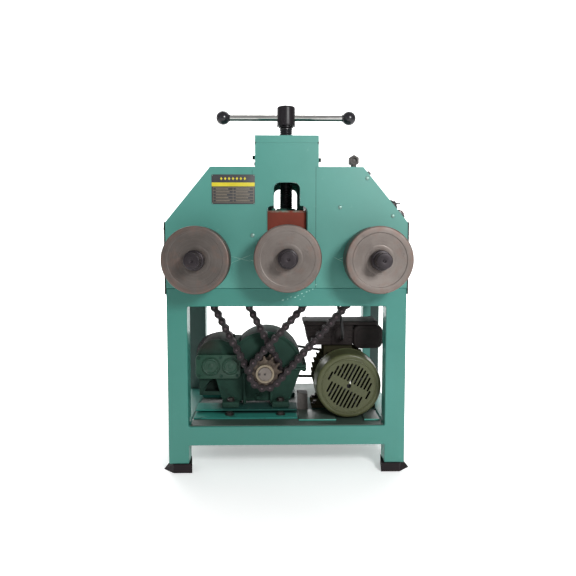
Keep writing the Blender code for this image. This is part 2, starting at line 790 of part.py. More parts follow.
# Slide block and screw
def build_slide():
    """The block with its front boss, shaft bore, screw seat and collar."""
    low = (-BLOCK_HALF, FRONT + BLOCK_FRONT_DEPTH, BLOCK_BOTTOM)
    high = (BLOCK_HALF, FRONT + BLOCK_BACK_DEPTH, BLOCK_TOP)
    body = block("slide_block", low, high, RED_OXIDE)
    axis = (0.0, FRONT, MIDDLE_Z)
    boss = rod("slide_boss", BOSS_RADIUS, -BOSS_REACH, SCREW_DEPTH, axis, "Y", RED_OXIDE)
    screw_axis = (0.0, FRONT + SCREW_DEPTH, BLOCK_TOP)
    collar = rod("slide_collar", COLLAR_RADIUS, -OVERRUN, COLLAR_HEIGHT, screw_axis, "Z", RED_OXIDE)
    boolean(body, [boss, collar], "UNION")
    bore = bore_radius(SHAFT_RADIUS, SHAFT_STEPS)
    bore = rod("slide_bore", bore, -STUB_REACH, HEAD_DEPTH, axis, "Y", RED_OXIDE, SHAFT_STEPS)
    seat = bore_radius(SCREW_RADIUS, SHAFT_STEPS)
    seat = rod(
        "screw_seat", seat, -SCREW_SEAT, TOP_PLATE, screw_axis, "Z", RED_OXIDE, SHAFT_STEPS
    )
    boolean(body, [bore, seat], "DIFFERENCE")


def build_screw():
    """Screw, its nut in the top plate, the hub, the cross bar and its ball knobs."""
    place = (0.0, FRONT + SCREW_DEPTH, 0.0)
    foot_z = BLOCK_TOP - SCREW_SEAT + FIT
    end_z = HUB_BOTTOM + SCREW_INTO_HUB - FIT
    groove = HUB_BOTTOM - SCREW_GROOVE
    profile = [
        (0.0, end_z),
        (SCREW_NECK, end_z),
        (SCREW_NECK, groove),
        (SCREW_RADIUS, groove - SCREW_GROOVE / 2),
        (SCREW_RADIUS, foot_z),
        (0.0, foot_z),
    ]
    turned("screw", profile, place, "Z", BLACK_STEEL, SHAFT_STEPS)
    under = TOWER_SEAM_Z
    bore = bore_radius(SCREW_RADIUS, SHAFT_STEPS)
    profile = [
        (bore, TOWER_TOP),
        (NUT_BUSH_RADIUS, TOWER_TOP),
        (NUT_BUSH_RADIUS, under),
        (NUT_BUSH_FLANGE, under),
        (NUT_BUSH_FLANGE, under - NUT_BUSH_DROP),
        (bore, under - NUT_BUSH_DROP),
    ]
    turned("screw_nut", profile, place, "Z", BRONZE, SHAFT_STEPS, ring=True)
    neck = bore_radius(SCREW_NECK, SHAFT_STEPS)
    profile = [
        (0.0, HUB_TOP),
        (HUB_RADIUS - HUB_CHAMFER, HUB_TOP),
        (HUB_RADIUS, HUB_TOP - HUB_CHAMFER),
        (HUB_RADIUS, HUB_BOTTOM + HUB_CHAMFER),
        (HUB_RADIUS - HUB_CHAMFER, HUB_BOTTOM),
        (neck, HUB_BOTTOM),
        (neck, HUB_BOTTOM + SCREW_INTO_HUB),
        (0.0, HUB_BOTTOM + SCREW_INTO_HUB),
    ]
    hub = turned("handle_hub", profile, place, "Z", BLACK_STEEL, SHAFT_STEPS)
    cross = (0.0, FRONT + SCREW_DEPTH, BAR_Z)
    hole = bore_radius(BAR_RADIUS, SMALL_STEPS)
    hole = rod("bar_hole", hole, -BALL_X, BALL_X, cross, "X", BLACK_STEEL, SMALL_STEPS)
    boolean(hub, [hole], "DIFFERENCE")
    half = BALL_X - BALL_RADIUS + BAR_INTO_BALL - FIT
    rod("cross_bar", BAR_RADIUS, -half, half, cross, "X", CHROME, SMALL_STEPS)
    rise = BALL_RADIUS - BAR_INTO_BALL
    for name, sign in (("left", -1), ("right", 1)):
        lip = bore_radius(BAR_RADIUS, BEARING_STEPS)
        mouth = -math.sqrt(BALL_RADIUS**2 - lip**2)
        start = math.atan2(mouth, lip)
        outer = arc((0.0, 0.0), BALL_RADIUS, math.pi / 2, start, 7)
        outer[0] = (0.0, BALL_RADIUS)
        profile = outer + [(lip, -rise), (0.0, -rise)]
        ball = turned(
            "ball_knob_" + name,
            profile,
            (sign * BALL_X, FRONT + SCREW_DEPTH, BAR_Z),
            "X",
            BLACK_PLASTIC,
            BEARING_STEPS,
        )
        if sign < 0:
            ball.rotation_euler = (0.0, -math.pi / 2, 0.0)


# Chain drive
def output_axis():
    """Where circles of whole chain pitches round the two outer rollers cross."""
    left_reach = LEFT_PITCHES * PITCH
    right_reach = RIGHT_PITCHES * PITCH
    x = (left_reach**2 - right_reach**2) / (4 * ROLLER_X)
    drop = math.sqrt(left_reach**2 - (x + ROLLER_X) ** 2)
    return x, OUTER_Z - drop


OUTPUT_X, OUTPUT_Z = output_axis()


def chain_angle(x):
    """Direction from the output axis to an outer roller's axis."""
    return math.atan2(OUTER_Z - OUTPUT_Z, x - OUTPUT_X)


def pin_places(x, pitches):
    """Pin centres of a loop round two equal sprockets, one pitch apart."""
    turn = chain_angle(x)
    along = Vector((math.cos(turn), math.sin(turn)))
    across = Vector((-math.sin(turn), math.cos(turn)))
    low = Vector((OUTPUT_X, OUTPUT_Z))
    high = Vector((x, OUTER_Z))
    wrap = TEETH // 2
    pins = [low + across * PITCH_RADIUS + along * PITCH * i for i in range(pitches)]
    for i in range(wrap):
        angle = turn + math.pi / 2 - i * math.pi / wrap
        pins.append(high + Vector((math.cos(angle), math.sin(angle))) * PITCH_RADIUS)
    pins += [high - across * PITCH_RADIUS - along * PITCH * i for i in range(pitches)]
    for i in range(wrap):
        angle = turn - math.pi / 2 - i * math.pi / wrap
        pins.append(low + Vector((math.cos(angle), math.sin(angle))) * PITCH_RADIUS)
    return pins


def prism(form, sides, radius, stretch, place, angle, low, high):
    """Adds a regular prism, drawn out along its own x by the stretch."""
    made = bmesh.ops.create_cone(
        form,
        cap_ends=True,
        segments=sides,
        radius1=radius / math.cos(math.pi / sides),
        radius2=radius / math.cos(math.pi / sides),
        depth=high - low,
        matrix=Matrix.Rotation(math.pi / sides, 4, "Z"),
    )
    for vertex in made["verts"]:
        vertex.co.x += math.copysign(stretch, vertex.co.x)
    move = Matrix.Translation((place[0], place[1], (low + high) / 2))
    bmesh.ops.transform(
        form, matrix=move @ Matrix.Rotation(angle, 4, "Z"), verts=made["verts"]
    )


def chain_layer(name, pins, first, near, far, depth):
    """Every second pair of link plates of a chain, on both sides of its middle plane."""
    form = bmesh.new()
    count = len(pins)
    for i in range(first, count, 2):
        start = pins[i]
        end = pins[(i + 1) % count]
        link = end - start
        angle = math.atan2(link.y, link.x)
        middle = (start + end) / 2
        for low, high in ((near, far), (-far, -near)):
            prism(form, LINK_SIDES, LINK_HALF_HEIGHT, PITCH / 2, middle, angle, low, high)
    return chain_mesh(name, form, depth)


def chain_mesh(name, form, depth):
    """A chain's prisms as an object in its own plane."""
    mesh = bpy.data.meshes.new(name)
    form.to_mesh(mesh)
    form.free()
    return keep(name, mesh, CHAIN_STEEL, (0.0, FRONT + depth, 0.0), TO_XZ)


def chain(name, x, pitches, depth):
    """A roller chain: inner plates with their rollers, and outer plates against them."""
    pins = pin_places(x, pitches)
    inner = chain_layer(name, pins, 0, INNER_HALF, INNER_HALF + LINK_PLATE, depth)
    form = bmesh.new()
    reach = INNER_HALF + LINK_PLATE / 2
    flat_radius = CHAIN_ROLLER_RADIUS * math.cos(math.pi / ROLLER_SIDES)
    for pin in pins:
        prism(form, ROLLER_SIDES, flat_radius, 0.0, pin, 0.0, -reach, reach)
    rollers = chain_mesh(name + "_rollers", form, depth)
    shoulder = INNER_HALF + LINK_PLATE
    outer = chain_layer(name + "_outer", pins, 1, shoulder, shoulder + LINK_PLATE, depth)
    return boolean(inner, [rollers, outer], "UNION", "MANIFOLD")


def tooth_loop(phase):
    """The outline of a sprocket: a round seat at each pin and a tooth between two seats."""
    points = []
    seat = SEAT_RADIUS / math.cos(math.pi / 8)
    half_tooth = math.pi / TEETH
    tip_half = TIP_HALF / TIP_RADIUS
    for tooth in range(TEETH):
        angle = phase + tooth * 2 * half_tooth
        pin = (PITCH_RADIUS * math.cos(angle), PITCH_RADIUS * math.sin(angle))
        points += arc(pin, seat, angle + math.pi * 11 / 8, angle + math.pi * 5 / 8, 3)
        middle = angle + half_tooth
        points += arc((0.0, 0.0), TIP_RADIUS, middle - tip_half, middle + tip_half, 1)
    return points


def sprocket(name, place, phase, hub, material):
    """A flat toothed disc, open in its middle where its hub is welded in."""
    loops = [tooth_loop(phase), circle((0.0, 0.0), hub - OVERRUN, SHAFT_STEPS)]
    return sheet(name, loops, 2 * TOOTH_HALF_WIDTH, place, TO_XZ, material)


def build_drive():
    """Output shaft, its double sprocket, the two upper sprockets and the chains."""
    right = chain_angle(ROLLER_X) + math.pi / 2
    left = chain_angle(-ROLLER_X) + math.pi / 2
    place = (OUTPUT_X, FRONT, OUTPUT_Z)
    seat = CASE_FRONT_DEPTH + OUTPUT_SEAT - FIT
    rod("output_shaft", OUTPUT_RADIUS, OUTPUT_FRONT_DEPTH, seat, place, "Y", SPROCKET_STEEL, SHAFT_STEPS)
    front = (OUTPUT_X, FRONT + RIGHT_CHAIN_DEPTH, OUTPUT_Z)
    back = (OUTPUT_X, FRONT + LEFT_CHAIN_DEPTH, OUTPUT_Z)
    bore = bore_radius(OUTPUT_RADIUS, SHAFT_STEPS)
    hub_radius = HUB_SLEEVE_RADIUS
    double = sprocket("double_sprocket", front, right, hub_radius, SPROCKET_STEEL)
    second = sprocket("second_sprocket", back, left, hub_radius, SPROCKET_STEEL)
    sleeve = ring(
        "sprocket_sleeve",
        HUB_SLEEVE_RADIUS,
        bore,
        HUB_SLEEVE_FRONT_DEPTH,
        CASE_FRONT_DEPTH - CASE_RIB_PROUD,
        place,
        "Y",
        SPROCKET_STEEL,
        SHAFT_STEPS,
    )
    boolean(double, [sleeve, second], "UNION")
    sides = (
        ("left", -ROLLER_X, LEFT_CHAIN_DEPTH, left, LEFT_PITCHES),
        ("right", ROLLER_X, RIGHT_CHAIN_DEPTH, right, RIGHT_PITCHES),
    )
    for name, x, depth, phase, pitches in sides:
        bore = bore_radius(SHAFT_RADIUS, SHAFT_STEPS)
        place = (x, FRONT + depth, OUTER_Z)
        hub_radius = SPROCKET_HUB_RADIUS
        disc = sprocket(name + "_sprocket", place, phase, hub_radius, SPROCKET_STEEL)
        hub = ring(
            name + "_sprocket_hub",
            SPROCKET_HUB_RADIUS,
            bore,
            -TOOTH_HALF_WIDTH - WELD_PROUD,
            SPROCKET_HUB_LENGTH,
            place,
            "Y",
            SPROCKET_STEEL,
            SHAFT_STEPS,
        )
        boolean(disc, [hub], "UNION")
        chain(name + "_chain", x, pitches, depth)


# Gear reducer
def build_reducer():
    """Lower and upper castings, the plate with the bearing caps, and the channels below."""
    middle = FRONT + (CASE_FRONT_DEPTH + CASE_BACK_DEPTH) / 2
    depth = CASE_BACK_DEPTH - CASE_FRONT_DEPTH
    split = OUTPUT_Z
    lower = [
        (CASE_LEFT, split - FIT),
        (CASE_LEFT, split - CASE_FLANGE),
        (BODY_TOP_LEFT, split - CASE_FLANGE - WELD_PROUD),
        (BODY_LOW_LEFT, BODY_BOTTOM),
        (BODY_LOW_RIGHT, BODY_BOTTOM),
        (BODY_TOP_RIGHT, split - CASE_FLANGE - WELD_PROUD),
        (CASE_RIGHT, split - CASE_FLANGE),
        (CASE_RIGHT, split - FIT),
    ]
    case = sheet("gearcase_lower", [lower], depth, (0.0, middle, 0.0), TO_XZ, DARK_GREEN)
    joined = []
    foot_z = CHANNEL_TOP + FIT
    for i, x in enumerate(CASE_FOOT_X):
        low = (x - CASE_FOOT_WIDTH / 2, FRONT + CASE_FRONT_DEPTH - CASE_FOOT_REACH, foot_z)
        high = (
            x + CASE_FOOT_WIDTH / 2,
            FRONT + CASE_BACK_DEPTH + CASE_FOOT_REACH,
            foot_z + CASE_FOOT_HEIGHT,
        )
        joined.append(block("case_foot_%d" % i, low, high, DARK_GREEN))
    for i, x in enumerate(CASE_RIB_X):
        low = (x - CASE_RIB_WIDTH / 2, FRONT + CASE_FRONT_DEPTH - CASE_RIB_PROUD, foot_z + OVERRUN)
        high = (x + CASE_RIB_WIDTH / 2, middle, split - CASE_FLANGE - OVERRUN)
        joined.append(block("case_rib_%d" % i, low, high, DARK_GREEN))
    boolean(case, joined, "UNION")
    crown = arc((OUTPUT_X, OUTPUT_Z), BIG_ARC, 0.0, math.radians(138), 14)
    side = arc((SMALL_ARC_X, SMALL_ARC_Z), SMALL_ARC, math.radians(44), math.pi, 9)
    base = split + FIT
    upper = (
        [(CASE_LEFT, base), (CASE_RIGHT, base), (CASE_RIGHT, split + CASE_FLANGE)]
        + [(crown[0][0], split + CASE_FLANGE)]
        + crown[1:]
        + side
    )
    top = sheet("gearcase_upper", [upper], depth, (0.0, middle, 0.0), TO_XZ, DARK_GREEN)
    low = (LUG_X - LUG_WIDTH / 2, middle - LUG_LENGTH / 2, LUG_Z - LUG_WIDTH)
    high = (LUG_X + LUG_WIDTH / 2, middle + LUG_LENGTH / 2, LUG_Z)
    boolean(top, [block("case_lug", low, high, DARK_GREEN)], "UNION")
    for name, item in (("low", case), ("up", top)):
        out_place = (OUTPUT_X, FRONT + CASE_FRONT_DEPTH, OUTPUT_Z)
        out_bore = bore_radius(OUTPUT_RADIUS, SHAFT_STEPS)
        bore = rod(
            "output_bore_" + name, out_bore, -TUBE, OUTPUT_SEAT, out_place, "Y", DARK_GREEN, SHAFT_STEPS
        )
        in_place = (INPUT_X, FRONT + CASE_BACK_DEPTH, CAP_Z)
        in_bore = bore_radius(INPUT_RADIUS, SMALL_STEPS)
        seat = rod(
            "input_bore_" + name, in_bore, -INPUT_SEAT, TUBE, in_place, "Y", DARK_GREEN, SMALL_STEPS
        )
        boolean(item, [bore, seat], "DIFFERENCE")
    panel = rounded(
        box_loop(END_PLATE_LEFT, END_PLATE_RIGHT, END_PLATE_BOTTOM, END_PLATE_TOP), END_PLATE_CORNER
    )
    face = FRONT + CASE_FRONT_DEPTH - FIT
    place = (0.0, face - END_PLATE_THICK / 2, 0.0)
    plate = sheet("gearcase_end_plate", [panel], END_PLATE_THICK, place, TO_XZ, DARK_GREEN)
    caps = []
    for x, radius in ((INPUT_X, INPUT_CAP_RADIUS), (MIDDLE_CAP_X, MIDDLE_CAP_RADIUS)):
        proud = -END_PLATE_THICK - CAP_PROUD
        caps.append(
            rod("bearing_cap", radius, proud, -OVERRUN, (x, face, CAP_Z), "Y", DARK_GREEN, SHAFT_STEPS)
        )
    boolean(plate, caps, "UNION")


def channel(name, flip):
    """A folded channel under one row of the reducer's feet, with a long lower flange."""
    low = SHELF_TOP + FIT
    top = CHANNEL_TOP
    profile = [
        (CHANNEL_LIP_DEPTH, low),
        (CHANNEL_WEB_DEPTH, low),
        (CHANNEL_WEB_DEPTH, top),
        (CHANNEL_FRONT_DEPTH, top),
        (CHANNEL_FRONT_DEPTH, top - CHANNEL_SHEET),
        (CHANNEL_WEB_DEPTH - CHANNEL_SHEET, top - CHANNEL_SHEET),
        (CHANNEL_WEB_DEPTH - CHANNEL_SHEET, low + CHANNEL_SHEET),
        (CHANNEL_LIP_DEPTH, low + CHANNEL_SHEET),
    ]
    if flip:
        middle = (CASE_FRONT_DEPTH + CASE_BACK_DEPTH) / 2
        profile = [(2 * middle - u, v) for u, v in reversed(profile)]
    place = ((CHANNEL_LEFT + CHANNEL_RIGHT) / 2, FRONT, 0.0)
    return sheet(name, [profile], CHANNEL_RIGHT - CHANNEL_LEFT, place, TO_YZ, GREEN)


# Motor
def fin_loop():
    """The round housing with its radial cooling fins."""
    points = []
    for i in range(FIN_COUNT):
        for share, radius in ((0.0, FIN_ROOT), (0.45, FIN_ROOT), (0.6, FIN_TIP), (0.85, FIN_TIP)):
            angle = (i + share) * 2 * math.pi / FIN_COUNT
            points.append((radius * math.cos(angle), radius * math.sin(angle)))
    return points


def build_motor():
    """Finned housing with feet and end shields, shaft with pulley, fan and cowl."""
    axis = (MOTOR_X, FRONT, MOTOR_Z)
    start = COWL_BACK_DEPTH + FIT
    length = BODY_BACK_DEPTH - start
    place = (MOTOR_X, FRONT + start + length / 2, MOTOR_Z)
    body = sheet("motor_body", [fin_loop()], length, place, TO_XZ, OLIVE)
    shield = rod(
        "front_shield", COWL_BACK_RADIUS - COWL_SHEET, start, start + SHIELD_LENGTH, axis, "Y", OLIVE
    )
    bell_back = BODY_BACK_DEPTH + BELL_LENGTH
    profile = [
        (0.0, bell_back),
        (BELL_RADIUS, bell_back),
        (FIN_TIP, BODY_BACK_DEPTH + OVERRUN),
        (FIN_TIP, BODY_BACK_DEPTH - SHIELD_LENGTH),
        (0.0, BODY_BACK_DEPTH - SHIELD_LENGTH),
    ]
    bell = turned("rear_bell", profile, axis, "Y", OLIVE)
    feet_low = MOTOR_BASE_TOP + FIT
    low = (MOTOR_FOOT_LEFT, FRONT + MOTOR_FOOT_FRONT_DEPTH, feet_low)
    high = (MOTOR_FOOT_RIGHT, FRONT + MOTOR_FOOT_BACK_DEPTH, feet_low + MOTOR_FOOT_HEIGHT)
    feet = block("motor_feet", low, high, OLIVE)
    low = (MOTOR_X - MOTOR_NECK_HALF, FRONT + MOTOR_FOOT_FRONT_DEPTH, MOTOR_Z)
    high = (MOTOR_X + MOTOR_NECK_HALF / 3, FRONT + MOTOR_FOOT_BACK_DEPTH, BOX_BOTTOM - FIT)
    seat = block("box_seat", low, high, OLIVE)
    boolean(body, [shield, bell, feet, seat], "UNION")
    bore = bore_radius(MOTOR_SHAFT_RADIUS, SMALL_STEPS)
    bore = rod("shaft_bore", bore, 0.0, STAND_DEPTH, axis, "Y", OLIVE, SMALL_STEPS)
    boolean(body, [bore], "DIFFERENCE")
    low = (MOTOR_BASE_LEFT, FRONT + MOTOR_BASE_FRONT_DEPTH, SHELF_TOP + FIT)
    high = (HALF - TUBE - FIT, FRONT + BODY_BACK_DEPTH, MOTOR_BASE_TOP)
    block("motor_base", low, high, GREEN)


def pulley_profile(radius, bore):
    """Half section of a grooved pulley about its middle plane, from the back to the front."""
    cheek = BELT_WIDTH / 2 + FIT + PULLEY_CHEEK
    wall = BELT_WIDTH / 2 + FIT
    rim = radius + BELT_THICK - PULLEY_RIM
    return [
        (bore, cheek),
        (rim, cheek),
        (rim, wall),
        (radius, wall),
        (radius, -wall),
        (rim, -wall),
        (rim, -cheek),
        (bore, -cheek),
    ]


def build_belt_drive():
    """Motor shaft and reducer input shaft, each with its pulley, and the belt round them."""
    cheek = BELT_WIDTH / 2 + FIT + PULLEY_CHEEK
    front = FAN_FRONT_DEPTH - OVERRUN
    profile = pulley_profile(MOTOR_PULLEY, MOTOR_SHAFT_RADIUS)
    outer = [(radius, BELT_DEPTH + height) for radius, height in profile]
    profile = [(0.0, BELT_DEPTH + cheek)] + outer[1:] + [(MOTOR_SHAFT_RADIUS, front), (0.0, front)]
    turned("motor_shaft", profile, (MOTOR_X, FRONT, MOTOR_Z), "Y", BLACK_STEEL, SHAFT_STEPS)
    profile = pulley_profile(INPUT_PULLEY, INPUT_RADIUS)
    outer = [(radius, BELT_DEPTH + height) for radius, height in profile]
    end = CASE_BACK_DEPTH - INPUT_SEAT + FIT
    profile = [(0.0, BELT_DEPTH + cheek)] + outer[1:] + [(INPUT_RADIUS, end), (0.0, end)]
    turned("input_pulley", profile, (INPUT_X, FRONT, CAP_Z), "Y", BLACK_STEEL, SHAFT_STEPS)
    gap = Vector((MOTOR_X - INPUT_X, MOTOR_Z - CAP_Z))
    lean = math.atan2(gap.y, gap.x)
    loops = []
    for extra in (BELT_GAP + BELT_THICK, BELT_GAP):
        small = MOTOR_PULLEY + extra
        large = INPUT_PULLEY + extra
        open_angle = math.acos((large - small) / gap.length)
        right = arc((MOTOR_X, MOTOR_Z), small, lean - open_angle, lean + open_angle, 12)
        left = arc(
            (INPUT_X, CAP_Z), large, lean + open_angle, lean - open_angle + 2 * math.pi, 16
        )
        loops.append(right + left)
    sheet("belt", loops, BELT_WIDTH, (0.0, FRONT + BELT_DEPTH, 0.0), TO_XZ, RUBBER)


def build_fan():
    """Radial fan on the motor shaft, and the slotted cowl over it."""
    points = []
    for i in range(FAN_BLADES):
        middle = (i + 0.5) * 2 * math.pi / FAN_BLADES
        root = math.asin(FAN_BLADE_HALF / FAN_HUB)
        tip = math.asin(FAN_BLADE_HALF / FAN_RADIUS)
        for radius, turn in ((FAN_HUB, -root), (FAN_RADIUS, -tip), (FAN_RADIUS, tip), (FAN_HUB, root)):
            angle = middle + turn
            points.append((radius * math.cos(angle), radius * math.sin(angle)))
    width = FAN_BACK_DEPTH - FAN_FRONT_DEPTH
    place = (MOTOR_X, FRONT + FAN_FRONT_DEPTH + width / 2, MOTOR_Z)
    bore = circle((0.0, 0.0), bore_radius(MOTOR_SHAFT_RADIUS, SMALL_STEPS), SMALL_STEPS)
    sheet("cooling_fan", [points, bore], width, place, TO_XZ, BLACK_PLASTIC)
    outer = [
        (COWL_BACK_RADIUS, COWL_BACK_DEPTH),
        (COWL_FRONT_RADIUS, COWL_FRONT_DEPTH + COWL_ROUND),
        (COWL_FRONT_RADIUS - COWL_ROUND / 3, COWL_FRONT_DEPTH + COWL_ROUND / 3),
        (COWL_FRONT_RADIUS - COWL_ROUND, COWL_FRONT_DEPTH),
        (COWL_HOLE, COWL_FRONT_DEPTH),
    ]
    inner = [
        (COWL_HOLE, COWL_FRONT_DEPTH + COWL_SHEET),
        (COWL_FRONT_RADIUS - COWL_ROUND, COWL_FRONT_DEPTH + COWL_SHEET),
        (COWL_FRONT_RADIUS - COWL_SHEET, COWL_FRONT_DEPTH + COWL_ROUND),
        (COWL_BACK_RADIUS - COWL_SHEET, COWL_BACK_DEPTH),
    ]
    axis = (MOTOR_X, FRONT, MOTOR_Z)
    cowl = turned("fan_cover", outer + inner, axis, "Y", OLIVE, ROUND_STEPS, ring=True)
    form = bmesh.new()
    tilt = Matrix.Rotation(math.radians(GRILLE_TILT), 4, "Z")
    rows = [(k, 1) for k in range(-5, 6)] + [(k + 0.5, -1) for k in range(-5, 5)]
    for step, side in rows:
        off = step * GRILLE_PITCH
        end = math.sqrt(GRILLE_RADIUS**2 - off**2)
        size = (end - GRILLE_BAND, GRILLE_SLOT, 2 * COWL_ROUND)
        centre = (side * (end + GRILLE_BAND) / 2, -off, 0.0)
        made = bmesh.ops.create_cube(form, size=1)
        shape = tilt @ Matrix.Translation(centre) @ Matrix.Diagonal((*size, 1.0))
        bmesh.ops.transform(form, matrix=shape, verts=made["verts"])
    mesh = bpy.data.meshes.new("grille_slots")
    form.to_mesh(mesh)
    form.free()
    face = (MOTOR_X, FRONT + COWL_FRONT_DEPTH, MOTOR_Z)
    slots = keep("grille_slots", mesh, OLIVE, face, TO_XZ)
    boolean(cowl, [slots], "DIFFERENCE")


def build_boxes():
    """Terminal box with its lid and gland, and the capacitor box beside it."""
    profile = [
        (BOX_LEFT + BOX_TAPER, BOX_BOTTOM),
        (BOX_RIGHT, BOX_BOTTOM),
        (BOX_RIGHT, BOX_LID_BOTTOM + OVERRUN),
        (BOX_LEFT, BOX_LID_BOTTOM + OVERRUN),
    ]
    depth = BOX_BACK_DEPTH - BOX_FRONT_DEPTH
    middle = FRONT + (BOX_BACK_DEPTH + BOX_FRONT_DEPTH) / 2
    box = sheet("terminal_box", [profile], depth, (0.0, middle, 0.0), TO_XZ, BLACK_PLASTIC)
    low = (LID_LEFT, FRONT + BOX_FRONT_DEPTH - LID_OVERHANG, BOX_LID_BOTTOM)
    high = (LID_RIGHT, FRONT + BOX_BACK_DEPTH + LID_OVERHANG, BOX_TOP)
    lid = block("box_lid", low, high, BLACK_PLASTIC, LID_OVERHANG / 4)
    place = (GLAND_X, FRONT + BOX_FRONT_DEPTH, GLAND_Z)
    gland = rod(
        "cable_gland",
        GLAND_RADIUS,
        -GLAND_LENGTH,
        OVERRUN,
        place,
        "Y",
        BLACK_PLASTIC,
        SMALL_STEPS,
    )
    boolean(box, [lid, gland], "UNION")
    left = BOX_RIGHT + FIT
    loop = box_loop(left, CAP_BOX_RIGHT, CAP_BOX_BOTTOM, BOX_LID_BOTTOM - FIT)
    loop = rounded(loop, CAP_BOX_CORNER, 4)
    depth = BOX_BACK_DEPTH - CAP_BOX_FRONT_DEPTH
    middle = FRONT + (BOX_BACK_DEPTH + CAP_BOX_FRONT_DEPTH) / 2
    item = sheet("capacitor_box", [loop], depth, (0.0, middle, 0.0), TO_XZ, BLACK_PLASTIC)
    bevel(item, LID_OVERHANG / 2)


# Controls on the right slope
def on_slope(share, height, depth):
    """A place above the slope's surface: a share of the way down it, and out along its normal."""
    x = SHOULDER_X + share * (HALF - SHOULDER_X)
    z = SHOULDER_Z + share * (SIDE_TOP - SHOULDER_Z)
    return Vector((x + height * math.sin(SLOPE), FRONT + depth, z + height * math.cos(SLOPE)))


def build_controls():
    """Reversing switch with its lever, and a push button in its block."""
    lean = (0.0, SLOPE, 0.0)
    base_place = on_slope(SWITCH_SHARE, FIT, CONTROL_DEPTH)
    profile = [
        (0.0, SWITCH_HEIGHT - SWITCH_BORE_LENGTH),
        (SWITCH_BORE, SWITCH_HEIGHT - SWITCH_BORE_LENGTH),
        (SWITCH_BORE, SWITCH_HEIGHT),
        (SWITCH_RADIUS - OVERRUN, SWITCH_HEIGHT),
        (SWITCH_RADIUS, SWITCH_HEIGHT - OVERRUN),
        (SWITCH_RADIUS, 0.0),
        (0.0, 0.0),
    ]
    base = turned("switch_base", profile, base_place, "Z", BLACK_PLASTIC, SHAFT_STEPS)
    base.rotation_euler = lean
    place = on_slope(SWITCH_SHARE, FIT + SWITCH_HEIGHT + FIT, CONTROL_DEPTH)
    lever = [
        (-LEVER_HUB_HALF, 0.0),
        (LEVER_HUB_HALF, 0.0),
        (LEVER_HUB_HALF, LEVER_HUB_HEIGHT),
        (LEVER_ROOT, LEVER_HUB_HEIGHT),
        (LEVER_REACH, LEVER_RISE - LEVER_TIP),
        (LEVER_REACH, LEVER_RISE),
        (LEVER_REACH - LEVER_TIP, LEVER_RISE),
        (0.0, LEVER_HUB_HEIGHT),
        (-LEVER_HUB_HALF, LEVER_HUB_HEIGHT),
    ]
    upright = (TO_XZ[0], SLOPE, 0.0)
    lever = sheet("switch_lever", [lever], LEVER_WIDTH, place, upright, BLACK_PLASTIC)
    sunk = LEVER_HUB_HEIGHT / 2
    reach = SWITCH_BORE - FIT
    drop = -SWITCH_BORE_LENGTH
    pin = rod("lever_pin", reach, drop, sunk, place, "Z", BLACK_PLASTIC, SMALL_STEPS)
    pin.rotation_euler = lean
    boolean(lever, [pin], "UNION")
    half = BUTTON_BLOCK_HALF
    well = rounded(box_loop(-half, half, -half, half), OVERRUN, 2)
    hole = circle((0.0, 0.0), bore_radius(BUTTON_RADIUS, SMALL_STEPS), SMALL_STEPS)
    middle = FIT + BUTTON_BLOCK_HEIGHT / 2
    place = on_slope(BUTTON_SHARE, middle, CONTROL_DEPTH)
    sheet("button_block", [well, hole], BUTTON_BLOCK_HEIGHT, place, lean, BLACK_PLASTIC)
    place = on_slope(BUTTON_SHARE, FIT + BUTTON_BLOCK_HEIGHT, CONTROL_DEPTH)
    profile = [
        (0.0, BUTTON_PROUD),
        (BUTTON_RADIUS - BUTTON_PROUD / 4, BUTTON_PROUD),
        (BUTTON_RADIUS, BUTTON_PROUD - BUTTON_PROUD / 4),
        (BUTTON_RADIUS, -BUTTON_WELL),
        (0.0, -BUTTON_WELL),
    ]
    button = turned("push_button", profile, place, "Z", BUTTON_RED, SMALL_STEPS)
    button.rotation_euler = lean
    half = SWITCH_BOX_HALF
    low = (-half, -half, -SWITCH_BOX_DROP)
    box = block("switch_box", low, (half, half, 0.0), BLACK_PLASTIC)
    drop = COVER_SHEET + FIT + SWITCH_BOX_DROP / 2
    box.location = on_slope(SWITCH_SHARE, -drop, CONTROL_DEPTH)
    box.rotation_euler = lean


def build_shoulder_nut():
    """Hexagon nut lying on its side on a short neck, welded to the right shoulder."""
    radius = EYE_FLATS / math.sqrt(3)
    corners = circle((0.0, 0.0), radius, 6)
    loop = [(-v, u) for u, v in corners]
    hole = circle((0.0, 0.0), EYE_BORE, SMALL_STEPS)
    place = (EYE_X, FRONT + EYE_DEPTH, EYE_Z)
    nut = sheet("shoulder_nut", [loop, hole], EYE_LENGTH, place, TO_XZ, BLACK_STEEL)
    foot_z = SHOULDER_Z + FIT - EYE_Z
    neck = rod(
        "nut_neck", EYE_NECK, foot_z, -EYE_BORE - OVERRUN, place, "Z", BLACK_STEEL, SMALL_STEPS
    )
    boolean(nut, [neck], "UNION")


# Motor cable, from the gland on the terminal box up through the stand to the switch
CABLE_ROUTE = (
    (0.181, 0.1715, 0.378),
    (0.181, 0.1615, 0.3783),
    (0.1808, 0.152, 0.3818),
    (0.1802, 0.145, 0.3895),
    (0.179, 0.1418, 0.4005),
    (0.1765, 0.1415, 0.42),
    (0.1735, 0.1435, 0.445),
    (0.164, 0.1495, 0.5),
    (0.157, 0.152, 0.53),
    (0.149, 0.1575, 0.59),
    (0.15, 0.161, 0.62),
    (0.1537, 0.1586, 0.6429),
    (0.1589, 0.1511, 0.6617),
    (0.1656, 0.1397, 0.677),
    (0.1738, 0.1255, 0.6897),
    (0.1836, 0.1095, 0.7006),
    (0.1949, 0.0929, 0.7103),
    (0.208, 0.0768, 0.7197),
    (0.2227, 0.0624, 0.7295),
    (0.2392, 0.0507, 0.7406),
    (0.2575, 0.0429, 0.7536),
    (0.2776, 0.04, 0.7693),
)


